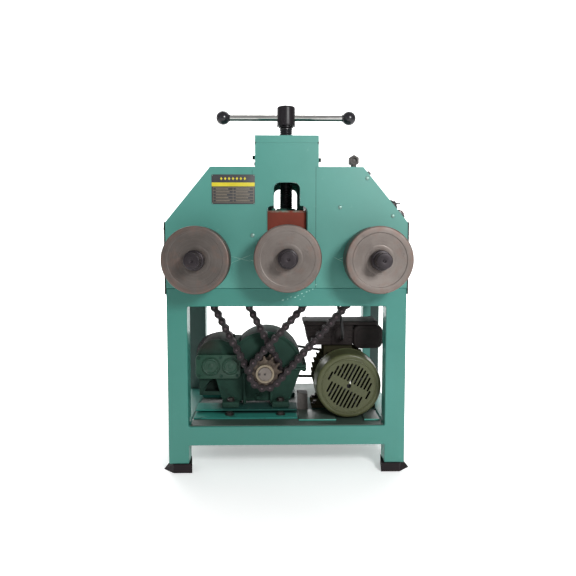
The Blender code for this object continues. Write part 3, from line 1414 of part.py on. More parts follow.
def build_cable():
    """The cable as a tube along its route."""
    curve = bpy.data.curves.new("motor_cable", "CURVE")
    curve.dimensions = "3D"
    curve.bevel_depth = CABLE_RADIUS
    curve.bevel_resolution = 2
    curve.use_fill_caps = True
    route = [Vector(place) for place in CABLE_ROUTE]
    spline = curve.splines.new("POLY")
    spline.points.add(len(route) - 1)
    for point, place in zip(spline.points, route):
        point.co = (place.x, place.y, place.z, 1.0)
    from_curve("motor_cable", curve, (0.0, FRONT, 0.0), FLAT, RUBBER)


build_stand()
build_feet()
build_plates()
build_tower_sides()
build_covers()
build_rollers()
build_slide()
build_screw()
build_drive()
build_reducer()
channel("channel_front", False)
channel("channel_rear", True)
build_motor()
build_belt_drive()
build_fan()
build_boxes()
build_controls()
build_shoulder_nut()
build_cable()
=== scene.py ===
import math

import bmesh
import bpy
import numpy as np
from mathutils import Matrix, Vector


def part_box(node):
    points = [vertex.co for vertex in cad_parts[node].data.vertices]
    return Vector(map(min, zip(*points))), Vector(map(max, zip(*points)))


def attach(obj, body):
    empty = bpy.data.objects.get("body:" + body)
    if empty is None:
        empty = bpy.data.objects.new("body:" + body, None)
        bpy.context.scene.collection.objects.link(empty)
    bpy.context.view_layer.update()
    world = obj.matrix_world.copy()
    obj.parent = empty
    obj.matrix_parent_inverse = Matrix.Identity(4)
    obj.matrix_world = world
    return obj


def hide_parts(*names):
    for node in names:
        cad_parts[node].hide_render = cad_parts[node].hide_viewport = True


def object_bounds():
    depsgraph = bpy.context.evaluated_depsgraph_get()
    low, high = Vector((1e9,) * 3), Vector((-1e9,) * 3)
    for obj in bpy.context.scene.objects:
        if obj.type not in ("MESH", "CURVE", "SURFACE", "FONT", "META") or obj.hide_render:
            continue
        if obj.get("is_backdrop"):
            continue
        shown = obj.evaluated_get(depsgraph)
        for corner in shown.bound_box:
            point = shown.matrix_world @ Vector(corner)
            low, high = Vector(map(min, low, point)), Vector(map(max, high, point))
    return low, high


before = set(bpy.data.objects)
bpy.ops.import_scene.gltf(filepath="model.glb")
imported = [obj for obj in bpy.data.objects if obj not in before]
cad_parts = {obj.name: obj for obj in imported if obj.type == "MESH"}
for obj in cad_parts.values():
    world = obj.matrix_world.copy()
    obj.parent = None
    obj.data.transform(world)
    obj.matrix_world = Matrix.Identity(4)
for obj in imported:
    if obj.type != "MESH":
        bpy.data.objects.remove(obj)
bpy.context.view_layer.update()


# Camera, lights and floor.
# The photograph is taken at the rollers' height, almost square on, against white. A soft light
# stands at the front right, with weak ones at the left and behind, and the floor glows a little.
CAMERA_PLACE = (-0.035, -1.9311, 0.698)
CAMERA_YAW = math.radians(1.24)
CAMERA_DIP = math.radians(4.6)


def into_scene(item):
    """Links an object to the scene."""
    bpy.context.scene.collection.objects.link(item)
    return item


def lamp(name, place, aim, size, power):
    """A square soft light that faces a point."""
    data = bpy.data.lights.new(name, "AREA")
    data.size = size
    data.energy = power
    item = into_scene(bpy.data.objects.new(name, data))
    item.location = place
    item.rotation_euler = (Vector(aim) - Vector(place)).to_track_quat("-Z", "Y").to_euler()


camera = into_scene(bpy.data.objects.new("camera", bpy.data.cameras.new("camera")))
camera.data.lens = 37.5
camera.data.sensor_width = 36.0
camera.location = CAMERA_PLACE
level = math.cos(CAMERA_DIP)
look = Vector((math.sin(CAMERA_YAW) * level, math.cos(CAMERA_YAW) * level, -math.sin(CAMERA_DIP)))
camera.rotation_euler = look.to_track_quat("-Z", "Y").to_euler()
bpy.context.scene.camera = camera
bpy.context.scene.view_settings.view_transform = "Standard"

lamp("key_light", (0.95, -2.2, 1.45), (0.0, 0.0, 0.6), 0.5, 40.0)
lamp("fill_light", (-2.4, -2.2, 1.4), (0.0, 0.0, 0.6), 2.2, 5.0)
lamp("rear_light", (-1.2, 2.8, 2.4), (0.0, 0.1, 0.6), 2.0, 24.0)
lamp("backdrop_light", (0.0, 1.6, 3.6), (0.0, 4.4, 1.2), 3.0, 200.0)

world = bpy.data.worlds.new("studio")
world.use_nodes = True
world.node_tree.nodes["Background"].inputs["Color"].default_value = (1.0, 1.0, 1.0, 1.0)
world.node_tree.nodes["Background"].inputs["Strength"].default_value = 0.33
bpy.context.scene.world = world


def skin(rows, closed_ring=True, closed_rows=False):
    """Quads through a grid of points, rows by ring: each point joins the next in ring and row."""
    rows = np.asarray(rows, float)
    index = np.arange(rows.shape[0] * rows.shape[1]).reshape(rows.shape[:2])
    if closed_rows:
        index = np.vstack([index, index[:1]])
    if closed_ring:
        index = np.hstack([index, index[:, :1]])
    corners = (index[:-1, :-1], index[:-1, 1:], index[1:, 1:], index[1:, :-1])
    return rows.reshape(-1, 3), np.stack(corners, -1).reshape(-1, 4).tolist()


def make(name, shapes, material, sharp=32.0):
    """One mesh from several shapes: doubles merged, faces outwards, sharp only past the angle."""
    points = np.concatenate([shape[0] for shape in shapes])
    faces = []
    start = 0
    for places, loops in shapes:
        faces += [[start + i for i in loop] for loop in loops]
        start += len(places)
    mesh = bpy.data.meshes.new(name)
    mesh.from_pydata(points.tolist(), [], faces)
    form = bmesh.new()
    form.from_mesh(mesh)
    bmesh.ops.remove_doubles(form, verts=form.verts, dist=0.000002)
    bmesh.ops.recalc_face_normals(form, faces=form.faces)
    form.to_mesh(mesh)
    form.free()
    mesh.shade_smooth()
    mesh.set_sharp_from_angle(angle=math.radians(sharp))
    mesh.materials.append(material)
    return into_scene(bpy.data.objects.new(name, mesh))


def node(tree, kind, settings=(), *values, **sockets):
    """Adds a shader node. Values fill its sockets in order, and named ones by name."""
    made = tree.nodes.new("ShaderNode" + kind)
    for key, value in dict(settings).items():
        setattr(made, key, value)
    wanted = list(zip(made.inputs, values))
    wanted += [(made.inputs[key.replace("_", " ")], value) for key, value in sockets.items()]
    for socket, value in wanted:
        if isinstance(value, bpy.types.NodeSocket):
            tree.links.new(value, socket)
        else:
            socket.default_value = value
    return made


def ramp(tree, factor, tones):
    """Colours along a factor, each tone a position and a linear colour."""
    made = node(tree, "ValToRGB", (), factor)
    stops = made.color_ramp.elements
    while len(stops) < len(tones):
        stops.new(0.5)
    for stop, (place, tone) in zip(stops, tones):
        stop.position = place
        stop.color = (*tone, 1.0)
    return made.outputs["Color"]


def mm(*points):
    """Points whose coordinates are given in millimetres."""
    return np.array(points, float) / 1000.0


def shades(*colours):
    """Two or three colours, from dark to light, at their usual places along a ramp."""
    places = (0.3, 0.7) if len(colours) == 2 else (0.25, 0.6, 0.85)
    return list(zip(places, colours))


def finish(name, tones, patch, roughness, grain, bump, metallic=0.0, coat=0.0, specular=0.5, wear=()):
    """A surface whose tones and roughness drift with slow noise, with a bump of fine grain. Wear
    is a list of patches laid over it."""
    material = bpy.data.materials.new(name)
    material.use_nodes = True
    tree = material.node_tree
    shader = tree.nodes["Principled BSDF"]
    place = node(tree, "TexCoord").outputs["Object"]
    slow = node(tree, "TexNoise", (), place, Scale=patch, Detail=6.0, Roughness=0.62).outputs["Fac"]
    fine = node(tree, "TexNoise", (), place, Scale=grain, Detail=3.0, Roughness=0.5).outputs["Fac"]
    tree.links.new(ramp(tree, slow, tones), shader.inputs["Base Color"])
    sheen = node(tree, "MapRange", (), slow, 0.3, 0.7, roughness[0], roughness[1])
    tree.links.new(sheen.outputs["Result"], shader.inputs["Roughness"])
    relief = node(tree, "Bump", (), Strength=bump, Distance=0.0005, Height=fine)
    tree.links.new(relief.outputs["Normal"], shader.inputs["Normal"])
    shader.inputs["Metallic"].default_value = metallic
    shader.inputs["Specular IOR Level"].default_value = specular
    shader.inputs["Coat Weight"].default_value = coat
    shader.inputs["Coat Roughness"].default_value = 0.12
    for patch in wear:
        patches(material, *patch)
    return material


def over(material, mask, tint, roughness=None):
    """Lays a tint, and a roughness, over what is there wherever the mask is near one."""
    tree = material.node_tree
    shader = tree.nodes["Principled BSDF"]
    below = shader.inputs["Base Color"].links[0].from_socket
    mixed = node(tree, "Mix", {"data_type": "RGBA"})
    tree.links.new(mask, mixed.inputs[0])
    tree.links.new(below, mixed.inputs[6])
    mixed.inputs[7].default_value = (*tint, 1.0)
    tree.links.new(mixed.outputs[2], shader.inputs["Base Color"])
    if roughness is not None:
        below = shader.inputs["Roughness"].links[0].from_socket
        mixed = node(tree, "Mix", (), mask)
        tree.links.new(below, mixed.inputs[2])
        mixed.inputs[3].default_value = roughness
        tree.links.new(mixed.outputs[0], shader.inputs["Roughness"])


def blotches(material, scale, low, high, strength=1.0, stretch=(1.0, 1.0, 1.0)):
    """A mask of noise patches: zero below the low level, and the strength above the high one."""
    tree = material.node_tree
    place = node(tree, "TexCoord").outputs["Object"]
    place = node(tree, "Mapping", (), place, Scale=stretch).outputs["Vector"]
    noise = node(tree, "TexNoise", (), place, Scale=scale, Detail=8.0, Roughness=0.65).outputs["Fac"]
    return node(tree, "MapRange", (), noise, low, high, 0.0, strength).outputs["Result"]


def patches(material, scale, low, high, strength, tint, roughness=None, stretch=(1.0, 1.0, 1.0)):
    """Lays a tint, and a roughness, over patches of noise."""
    over(material, blotches(material, scale, low, high, strength, stretch), tint, roughness)


def along(material, axis, low, high, strength=1.0):
    """A mask that rises from zero to the strength between two places along an axis."""
    tree = material.node_tree
    place = node(tree, "TexCoord").outputs["Object"]
    part = node(tree, "SeparateXYZ", (), place).outputs[axis]
    return node(tree, "MapRange", (), part, low, high, 0.0, strength).outputs["Result"]


def times(material, first, second):
    """The product of two masks or values."""
    tree = material.node_tree
    return node(tree, "Math", {"operation": "MULTIPLY"}, first, second).outputs["Value"]


across = np.linspace(-7.0, 7.0, 15)
sweep = np.linspace(0.0, math.pi / 2, 13)
back_wall = np.stack([3.0 + 1.5 * np.sin(sweep), 1.5 - 1.5 * np.cos(sweep)], -1)
section = np.concatenate([[[-7.0, 0.0]], back_wall, [[4.5, 6.0]]])
grid = np.zeros((len(section), len(across), 3))
grid[:, :, 0] = across
grid[:, :, 1:] = section[:, None, :]
floor_tones = shades((0.93, 0.93, 0.93), (0.95, 0.95, 0.95))
floor_finish = finish("pale_floor", floor_tones, 1.5, (0.75, 0.85), 60.0, 0.02)
glow = floor_finish.node_tree.nodes["Principled BSDF"]
glow.inputs["Emission Color"].default_value = (1.0, 1.0, 1.0, 1.0)
glow.inputs["Emission Strength"].default_value = 0.35
floor = make("floor", [skin(grid, closed_ring=False)], floor_finish)
floor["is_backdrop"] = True


# Stand.
# Square steel tube, sawn and welded into two frames joined by side rails, ground flush and sprayed
# with mint enamel. The beads of weld still show in the inside corners.
stand_low, stand_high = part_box("stand_front")
FRONT = stand_low.y
MINT_TONES = [(0.25, (0.053, 0.23, 0.19)), (0.55, (0.064, 0.259, 0.217)), (0.8, (0.074, 0.277, 0.234))]
BEAD = 0.0032
SHELF_TOP = 0.1441


def dimmed(tones, red, green, blue):
    """The same tones with each channel scaled."""
    return [(place, (tone[0] * red, tone[1] * green, tone[2] * blue)) for place, tone in tones]


def mint_enamel(name, tones, grime, specular=0.5, coat=0.18):
    """Sprayed enamel with orange peel, a dusty film and a few dark specks."""
    material = finish(name, tones, 3.2, (0.36, 0.5), 260.0, 0.1, 0.0, coat, specular)
    patches(material, 9.0, 0.6, 0.8, grime, (0.055, 0.18, 0.14), 0.6)
    patches(material, 420.0, 0.73, 0.77, 0.5, (0.03, 0.07, 0.06))
    patches(material, 26.0, 0.66, 0.76, 0.16, (0.3, 0.52, 0.44), 0.55)
    return material


def coated(material, *names):
    """Gives CAD nodes a finish."""
    for name in names:
        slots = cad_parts[name].data.materials
        if len(slots):
            slots[0] = material
        else:
            slots.append(material)


def fitted(name, shapes, material, slot, *nodes, body="machine_frame", sharp=32.0):
    """Makes a piece that rides on its body and hides the nodes it stands for. The slot is not used."""
    piece = make(name, shapes, material, sharp)
    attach(piece, body)
    if nodes:
        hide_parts(*nodes)
    return piece


def tube(path, radius, steps):
    """Carries a circle along a path, its plane turned least from one point to the next."""
    path = np.asarray(path, float)
    radius = np.broadcast_to(radius, len(path))
    heading = np.gradient(path, axis=0)
    heading /= np.linalg.norm(heading, axis=1)[:, None]
    side = np.cross(heading[0], (0.31, 0.17, 0.94))
    sides = []
    for direction in heading:
        side = side - direction * (side @ direction)
        side = side / np.linalg.norm(side)
        sides.append(side)
    sides = np.array(sides)
    lift = np.cross(heading, sides)
    turn = np.linspace(0.0, 2 * math.pi, steps, endpoint=False)
    ring = np.cos(turn)[None, :, None] * sides[:, None] + np.sin(turn)[None, :, None] * lift[:, None]
    rows = path[:, None] + ring * radius[:, None, None]
    rows = np.concatenate([
        np.repeat(path[:1, None], steps, 1), rows, np.repeat(path[-1:, None], steps, 1),
    ])
    return skin(rows)


def bead(start, end):
    """A weld bead: a thin tube along a line, its radius rippling once for each drop of metal."""
    start = np.asarray(start, float)
    end = np.asarray(end, float)
    count = max(8, int(np.linalg.norm(end - start) / 0.0012))
    share = np.linspace(0.0, 1.0, count)
    drop = share * count
    ripple = BEAD * (1.0 + 0.16 * np.sin(drop * 1.3) + 0.08 * np.sin(drop * 0.41))
    return tube(start + share[:, None] * (end - start), ripple, 8)


# Painted shade: the stand's mint is a darker copy of the head's mint.
stand_enamel = mint_enamel("stand_enamel", dimmed(MINT_TONES, 0.66, 0.85, 0.85), 0.32)
over(stand_enamel, along(stand_enamel, "Z", 0.36, 0.05, 0.35), (0.05, 0.215, 0.17))
# Painted shade: the stand darkens towards the left, away from the light.
over(stand_enamel, along(stand_enamel, "X", 0.25, -0.36, 0.75), (0.026, 0.182, 0.142))
# The rear frame and side rails take a darker mint, darker still on their inward faces: painted shade.
rear_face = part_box("stand_rear")[0].y
tube_width = stand_high.y - FRONT
inner_face = stand_high.x - tube_width
shaded_rail_tones = dimmed(MINT_TONES, 0.66, 0.8, 0.8)
rail_enamel = mint_enamel("rail_enamel", shaded_rail_tones, 0.4)
facing = along(rail_enamel, "Y", rear_face + 0.0014, rear_face + 0.0006)
left_painted_shade = times(rail_enamel, facing, along(rail_enamel, "X", 0.05, -0.2, 0.9))
over(rail_enamel, left_painted_shade, (0.012, 0.042, 0.034), 0.6)
right_painted_shade = times(rail_enamel, facing, along(rail_enamel, "X", 0.3215, 0.3225, 0.9))
over(rail_enamel, right_painted_shade, (0.008, 0.016, 0.015), 0.7)
side_enamel = mint_enamel("side_enamel", shaded_rail_tones, 0.4)
left_inside = along(side_enamel, "X", -inner_face - 0.0014, -inner_face - 0.0006)
right_inside = along(side_enamel, "X", inner_face + 0.0014, inner_face + 0.0006, 0.8)
over(side_enamel, times(side_enamel, left_inside, right_inside), (0.02, 0.08, 0.066), 0.6)
coated(stand_enamel, "stand_front")
coated(rail_enamel, "stand_rear", "cross_rail")
coated(side_enamel, "side_rail_low_left", "side_rail_low_right")
coated(side_enamel, "side_rail_top_left", "side_rail_top_right")
beads = []
for face in (FRONT + tube_width, rear_face):
    for side in (-1.0, 1.0):
        for low, high in ((0.083, 0.141), (0.502, 0.556)):
            edge = side * (inner_face + 0.0006)
            beads.append(bead((edge, face, low), (edge, face, high)))
            outer = side * (inner_face + 0.054)
            beads.append(bead((edge, face, high - 0.001), (outer, face, high - 0.001)))
fitted("stand_welds", beads, rail_enamel, "green_paint", sharp=60.0)


# Feet.
# Moulded black rubber pads with a sloping toe, pushed over the leg ends. They are dull, chalky at
# the edges and scuffed where the machine has been dragged.
foot_rubber = finish(
    "foot_rubber", shades((0.008, 0.005, 0.006), (0.016, 0.01, 0.012)), 14.0, (0.6, 0.8), 500.0, 0.35,
    specular=0.25, wear=[(60.0, 0.64, 0.78, 0.25, (0.06, 0.05, 0.045), 0.9)],
)
coated(foot_rubber, "foot_front_left", "foot_front_right", "foot_rear_left", "foot_rear_right")


# Shelf, channels and motor base.
# A thin steel sheet lies on the low rails. Two folded channels carry the reducer, and a flat plate
# with two strips carries the motor, all bolted down, hand sprayed and dull with oil and dust.
shelf_finish = finish(
    "shelf_paint", shades((0.03, 0.052, 0.042), (0.055, 0.085, 0.07)), 7.0, (0.35, 0.6), 180.0, 0.2,
    wear=[
        (16.0, 0.56, 0.7, 0.6, (0.018, 0.02, 0.018), 0.25),
        (120.0, 0.64, 0.72, 0.5, (0.12, 0.13, 0.115), 0.8),
    ],
)
coated(shelf_finish, "shelf_plate")
channel_enamel = mint_enamel("channel_enamel", dimmed(MINT_TONES, 0.55, 0.88, 0.86), 0.8, 0.15, 0.0)
# Painted shade: the channels darken behind their front part, under the reducer.
behind = along(channel_enamel, "Y", FRONT + 0.108, FRONT + 0.116)
behind = times(channel_enamel, behind, along(channel_enamel, "X", -0.235, -0.2, 0.8))
over(channel_enamel, behind, (0.012, 0.03, 0.027), 0.6)
patches(channel_enamel, 30.0, 0.58, 0.7, 0.7, (0.02, 0.03, 0.025), 0.4)
coated(channel_enamel, "channel_front", "channel_rear", "motor_base")


def arc(centre, radius, start, end, steps):
    """Points of an arc between two angles in degrees."""
    turn = np.radians(np.linspace(start, end, steps + 1))
    return np.stack([centre[0] + radius * np.cos(turn), centre[1] + radius * np.sin(turn)], -1)


def panel(left, right, low, high, corner, steps):
    """The outline of a rectangle with quarter circles at its corners."""
    corner = min(corner, (right - left) * 0.49, (high - low) * 0.49)
    corners = (
        arc((right - corner, low + corner), corner, -90.0, 0.0, steps),
        arc((right - corner, high - corner), corner, 0.0, 90.0, steps),
        arc((left + corner, high - corner), corner, 90.0, 180.0, steps),
        arc((left + corner, low + corner), corner, 180.0, 270.0, steps),
    )
    return np.concatenate(corners)


def eased(points, reach, steps=3, closed=True):
    """Rounds the corners of an outline: each is a quadratic curve between its two sides."""
    points = np.asarray(points, float)
    before = np.roll(points, 1, 0) - points
    after = np.roll(points, -1, 0) - points
    sizes = [np.maximum(np.linalg.norm(side, axis=1), 1e-9)[:, None] for side in (before, after)]
    first = points + before * np.minimum(reach / sizes[0], 0.45)
    last = points + after * np.minimum(reach / sizes[1], 0.45)
    share = np.linspace(0.0, 1.0, steps + 1)[None, :, None]
    curves = (1 - share) ** 2 * first[:, None] + 2 * share * (1 - share) * points[:, None]
    curves = (curves + share**2 * last[:, None]).reshape(-1, 2)
    if closed:
        return curves
    return np.concatenate([points[:1], curves[steps + 1 : -steps - 1], points[-1:]])


def inward(loop):
    """For each point of an outline, where it moves when both its sides move in by one."""
    side = np.roll(loop, -1, 0) - loop
    side = side / np.maximum(np.linalg.norm(side, axis=1), 1e-12)[:, None]
    area = np.sum(loop[:, 0] * np.roll(loop[:, 1], -1) - np.roll(loop[:, 0], -1) * loop[:, 1])
    normal = np.stack([-side[:, 1], side[:, 0]], -1) * np.sign(area)
    previous = np.roll(normal, 1, 0)
    spread = np.maximum(1.0 + np.sum(normal * previous, -1), 0.4)
    return (normal + previous) / spread[:, None]


def turned_to(axis, first, second, depth):
    """Puts two flat coordinates and a depth in the order of an axis."""
    order = {"X": (depth, first, second), "Y": (first, depth, second), "Z": (first, second, depth)}
    return np.stack(np.broadcast_arrays(*order[axis]), -1)


def slab(loop, near, far, edge, axis="Y"):
    """Carries an outline along an axis. Its rims are quarter rounds: the outline shrinks by
    edge times one less the sine of the angle while it moves by edge times one less the cosine."""
    loop = np.asarray(loop, float)
    turn = np.linspace(0.0, math.pi / 2, 4)
    inset = np.concatenate([edge * (1 - np.sin(turn)), edge * (1 - np.sin(turn[::-1]))])
    move = edge * (1 - np.cos(turn))
    depth = np.concatenate([near + move, far - move[::-1]])
    flat = loop[None] + inset[:, None, None] * inward(loop)[None]
    points, faces = skin(turned_to(axis, flat[..., 0], flat[..., 1], depth[:, None]))
    count = len(loop)
    last = len(points) - count
    return points, faces + [list(range(count)), list(range(last, last + count))]


def brick(low, high, edge):
    """A block between two corners with rounded edges."""
    loop = panel(low[0], high[0], low[2], high[2], edge, 3)
    return slab(loop, low[1], high[1], edge)


def spun(profile, centre, axis, steps, ring=False):
    """Carries a profile of radius and height round an axis: radius times cosine, radius times
    sine, and the height. A ring's profile closes on itself; any other starts and ends on the axis."""
    profile = np.asarray(profile, float)
    turn = np.linspace(0.0, 2 * math.pi, steps, endpoint=False)
    first = profile[:, :1] * np.cos(turn)
    second = profile[:, :1] * np.sin(turn)
    rows = turned_to(axis, first, second, profile[:, 1:]) + np.asarray(centre, float)
    return skin(rows, closed_rows=ring)


def disc(radius, low, high, centre, axis, steps, edge):
    """A short round bar with rounded rims."""
    profile = eased([(0.0, low), (radius, low), (radius, high), (0.0, high)], edge, 3, closed=False)
    return spun(profile, centre, axis, steps)


def hexagon_head(place, axis, across, height, washer=0.0):
    """A bolt head: a hexagonal prism under a shallow cone, on a round washer. The height's sign
    is the way it points."""
    sign = math.copysign(1.0, height)
    radius = across / math.sqrt(3)
    top = sign * washer + height
    head = [
        (0.0, 0.0), (radius, 0.0), (radius, top - sign * radius * 0.12), (radius * 0.84, top),
        (0.0, top),
    ]
    shapes = [spun(head, place, axis, 6)]
    if washer:
        shapes.append(disc(radius * 1.28, 0.0, sign * washer, place, axis, 20, washer * 0.3))
    return shapes


bolt_steel = finish(
    "bolt_steel", shades((0.03, 0.026, 0.025), (0.085, 0.075, 0.07)), 60.0, (0.3, 0.5), 700.0, 0.15,
    metallic=0.7, wear=[(90.0, 0.58, 0.7, 0.6, (0.045, 0.022, 0.014), 0.8)],
)
case_front = FRONT + 0.174
case_back = FRONT + 0.344
foot_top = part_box("channel_front")[1].z + 0.0183
shapes = []
for x in (-0.179, -0.018):
    for y in (case_front - 0.021, case_back + 0.021):
        shapes += hexagon_head((x, y, foot_top), "Z", 0.019, 0.009, 0.002)
        shapes += hexagon_head((x, y, foot_top - 0.0225), "Z", 0.017, -0.0075)
    shapes += hexagon_head((x, FRONT + 0.101, foot_top - 0.0303), "Z", 0.021, 0.0075, 0.001)
feet_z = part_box("motor_body")[0].z
for x in (0.096, 0.281):
    for y in (FRONT + 0.184, FRONT + 0.256):
        shapes += hexagon_head((x, y, feet_z + 0.014), "Z", 0.014, 0.007, 0.002)
fitted("foot_bolts", shapes, bolt_steel, "black_steel")
shapes = [
    brick((0.037, FRONT + 0.166, SHELF_TOP), (0.0705, FRONT + 0.1705, 0.197), 0.0008),
    brick((0.037, FRONT + 0.17, 0.1925), (0.0705, FRONT + 0.215, 0.197), 0.0008),
    brick((0.04, FRONT + 0.1705, SHELF_TOP), (0.068, FRONT + 0.205, 0.1481), 0.0006),
]
bracket_steel = finish(
    "bracket_steel", shades((0.105, 0.096, 0.09), (0.16, 0.145, 0.135)), 20.0, (0.5, 0.7), 400.0, 0.25,
    specular=0.3,
)
fitted("stop_bracket", shapes, bracket_steel, "green_paint")
rail_paint = mint_enamel("motor_rail_paint", shades((0.04, 0.062, 0.05), (0.062, 0.09, 0.074)), 0.6)
over(rail_paint, along(rail_paint, "Y", FRONT + 0.0436, FRONT + 0.0428), (0.06, 0.33, 0.26), 0.4)
shapes = [
    brick((0.0365, FRONT + 0.042, SHELF_TOP), (0.152, FRONT + 0.1527, 0.1488), 0.0012),
    brick((0.2385, FRONT + 0.042, SHELF_TOP), (0.286, FRONT + 0.1527, 0.1488), 0.0012),
]
fitted("motor_rails", shapes, rail_paint, "green_paint")


# Gear reducer.
# Two iron castings bolted together at the shaft line, with ribs, feet and a lifting lug, and a
# machined plate whose two caps close the bearings, brushed dark green over the rough cast skin.
PITCH = 0.0254
ROLLER_X = 0.254
LEFT_LINKS = 16
RIGHT_LINKS = 19
left_roller_low, left_roller_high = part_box("left_roller")
OUTER_Z = (left_roller_low.z + left_roller_high.z) / 2
OUTPUT_X = ((LEFT_LINKS * PITCH) ** 2 - (RIGHT_LINKS * PITCH) ** 2) / (4 * ROLLER_X)
OUTPUT_Z = OUTER_Z - math.sqrt((LEFT_LINKS * PITCH) ** 2 - (OUTPUT_X + ROLLER_X) ** 2)

case_paint = finish(
    "case_paint", shades((0.014, 0.036, 0.027), (0.022, 0.058, 0.042), (0.032, 0.078, 0.058)), 9.0,
    (0.55, 0.75), 330.0, 0.55, specular=0.12,
    wear=[
        (22.0, 0.58, 0.72, 0.6, (0.008, 0.012, 0.01), 0.5),
        (70.0, 0.66, 0.78, 0.35, (0.05, 0.08, 0.065), 0.75),
    ],
)
# Painted shade: the case darkens behind its front face, over its sides and top.
over(case_paint, along(case_paint, "Y", FRONT + 0.176, FRONT + 0.182, 0.7), (0.007, 0.008, 0.007), 0.8)
reflection = times(
    case_paint, along(case_paint, "X", -0.2, -0.25, 0.6), along(case_paint, "Z", 0.32, 0.35),
)
over(case_paint, reflection, (0.03, 0.016, 0.014))
plate_paint = finish(
    "cap_paint", [(0.25, (0.012, 0.044, 0.027)), (0.7, (0.022, 0.07, 0.044))], 12.0, (0.3, 0.48), 300.0,
    0.3, specular=0.4, wear=[(40.0, 0.6, 0.74, 0.5, (0.01, 0.026, 0.018), 0.4)],
)

flange = 0.009
lower = [
    (-0.292, OUTPUT_Z - 0.0004), (-0.292, OUTPUT_Z - flange), (-0.236, OUTPUT_Z - flange - 0.001),
    (-0.2126, 0.186), (-0.206, 0.172), (0.012, 0.172), (0.048, OUTPUT_Z - flange - 0.001),
    (0.067, OUTPUT_Z - flange), (0.067, OUTPUT_Z - 0.0004),
]
shapes = [slab(eased(lower, 0.004), case_front, case_back, 0.0025)]
for x in (-0.179, -0.018):
    foot_low = (x - 0.0275, case_front - 0.042, foot_top - 0.018)
    shapes.append(brick(foot_low, (x + 0.0275, case_back + 0.042, foot_top), 0.003))
for x in (-0.135, -0.048):
    rib = ((x - 0.004, case_front - 0.014, 0.166), (x + 0.004, case_front + 0.02, OUTPUT_Z - 0.012))
    shapes.append(brick(*rib, 0.002))
shapes.append(brick(
    (-0.2915, case_front - 0.003, OUTPUT_Z - flange), (0.0665, case_front + 0.01, OUTPUT_Z - 0.0006),
    0.0018,
))
belly = mm((-286, 256), (-282, 206), (-274, 190.5), (-215, 190.5), (-215, 256))
shapes.append(slab(eased(belly, 0.004), case_front + 0.03, case_back - 0.02, 0.002))
skirt = mm(
    (-283, 256), (-283, 190.5), (-215, 190.5), (-215, 202.5), (-266, 203.5), (-251, 233.5),
    (-232, 248.5), (-232, 256),
)
shapes.append(slab(eased(skirt, 0.0015), case_front + 0.004, case_front + 0.032, 0.0012))
drain = (-0.09, case_front - 0.006, 0.186)
shapes.append(disc(0.012, 0.0, 0.012, drain, "Y", 32, 0.001))
fitted("reducer_lower_casting", shapes, case_paint, "gearcase_paint", "gearcase_lower")

crown = arc((OUTPUT_X, OUTPUT_Z), 0.1197, 4.5, 138.0, 56)
hood = arc((-0.2245, 0.309), 0.0675, 44.0, 180.0, 36)
base = [(-0.292, OUTPUT_Z + 0.0004), (0.067, OUTPUT_Z + 0.0004), (0.067, OUTPUT_Z + flange)]
upper = np.concatenate([base, crown, hood])
shapes = [slab(upper, case_front, case_back, 0.0028)]
for centre, outer, inner, start, end, steps in (
    ((OUTPUT_X, OUTPUT_Z), 0.1194, 0.1105, 5.0, 137.0, 56),
    ((-0.2245, 0.309), 0.0672, 0.0592, 47.0, 180.0, 36),
):
    rim = np.concatenate([arc(centre, outer, start, end, steps), arc(centre, inner, end, start, steps)])
    shapes.append(slab(rim, case_front - 0.003, case_front + 0.006, 0.0015))
shapes.append(brick(
    (-0.29, case_front - 0.003, OUTPUT_Z + 0.0006), (0.0665, case_front + 0.01, OUTPUT_Z + flange),
    0.0018,
))
middle_y = (case_front + case_back) / 2
shapes.append(brick((-0.17, case_front + 0.004, 0.352), (-0.151, middle_y + 0.03, 0.3735), 0.003))
shapes.append(disc(0.0085, 0.368, 0.3735, (-0.178, middle_y, 0.0), "Z", 32, 0.001))
shapes.append(disc(0.046, 0.0, 0.01, (OUTPUT_X, case_front - 0.007, OUTPUT_Z), "Y", 72, 0.0015))
for height in (0.02, 0.052, 0.078):
    web = (OUTPUT_X + 0.006 + height * 0.2, case_front - 0.002, OUTPUT_Z + height + 0.012)
    shapes.append(brick(web, (web[0] + 0.004, case_front + 0.004, web[2] + 0.016), 0.001))
fitted("reducer_upper_casting", shapes, case_paint, "gearcase_paint", "gearcase_upper")

face = case_front - 0.0003
shapes = [slab(panel(-0.292, -0.147, 0.2485, 0.3275, 0.016, 8), face - 0.014, face, 0.0015)]
for x, radius in ((-0.2435, 0.0272), (-0.1795, 0.0245)):
    cap = [
        (0.0, -0.0172), (radius * 0.26, -0.0172), (radius * 0.32, -0.016), (radius * 0.74, -0.0158),
        (radius * 0.82, -0.0186), (radius * 0.95, -0.0186), (radius, -0.0165), (radius, -0.01),
        (0.0, -0.01),
    ]
    shapes.append(spun(eased(cap, 0.001, 3, closed=False), (x, face, 0.2895), "Y", 72))
    collar = [(radius + 0.0008, -0.013), (radius + 0.003, -0.0152), (radius + 0.0045, -0.013)]
    shapes.append(spun(collar, (x, face, 0.2895), "Y", 72, ring=True))
fitted("bearing_cap_plate", shapes, plate_paint, "gearcase_paint", "gearcase_end_plate")

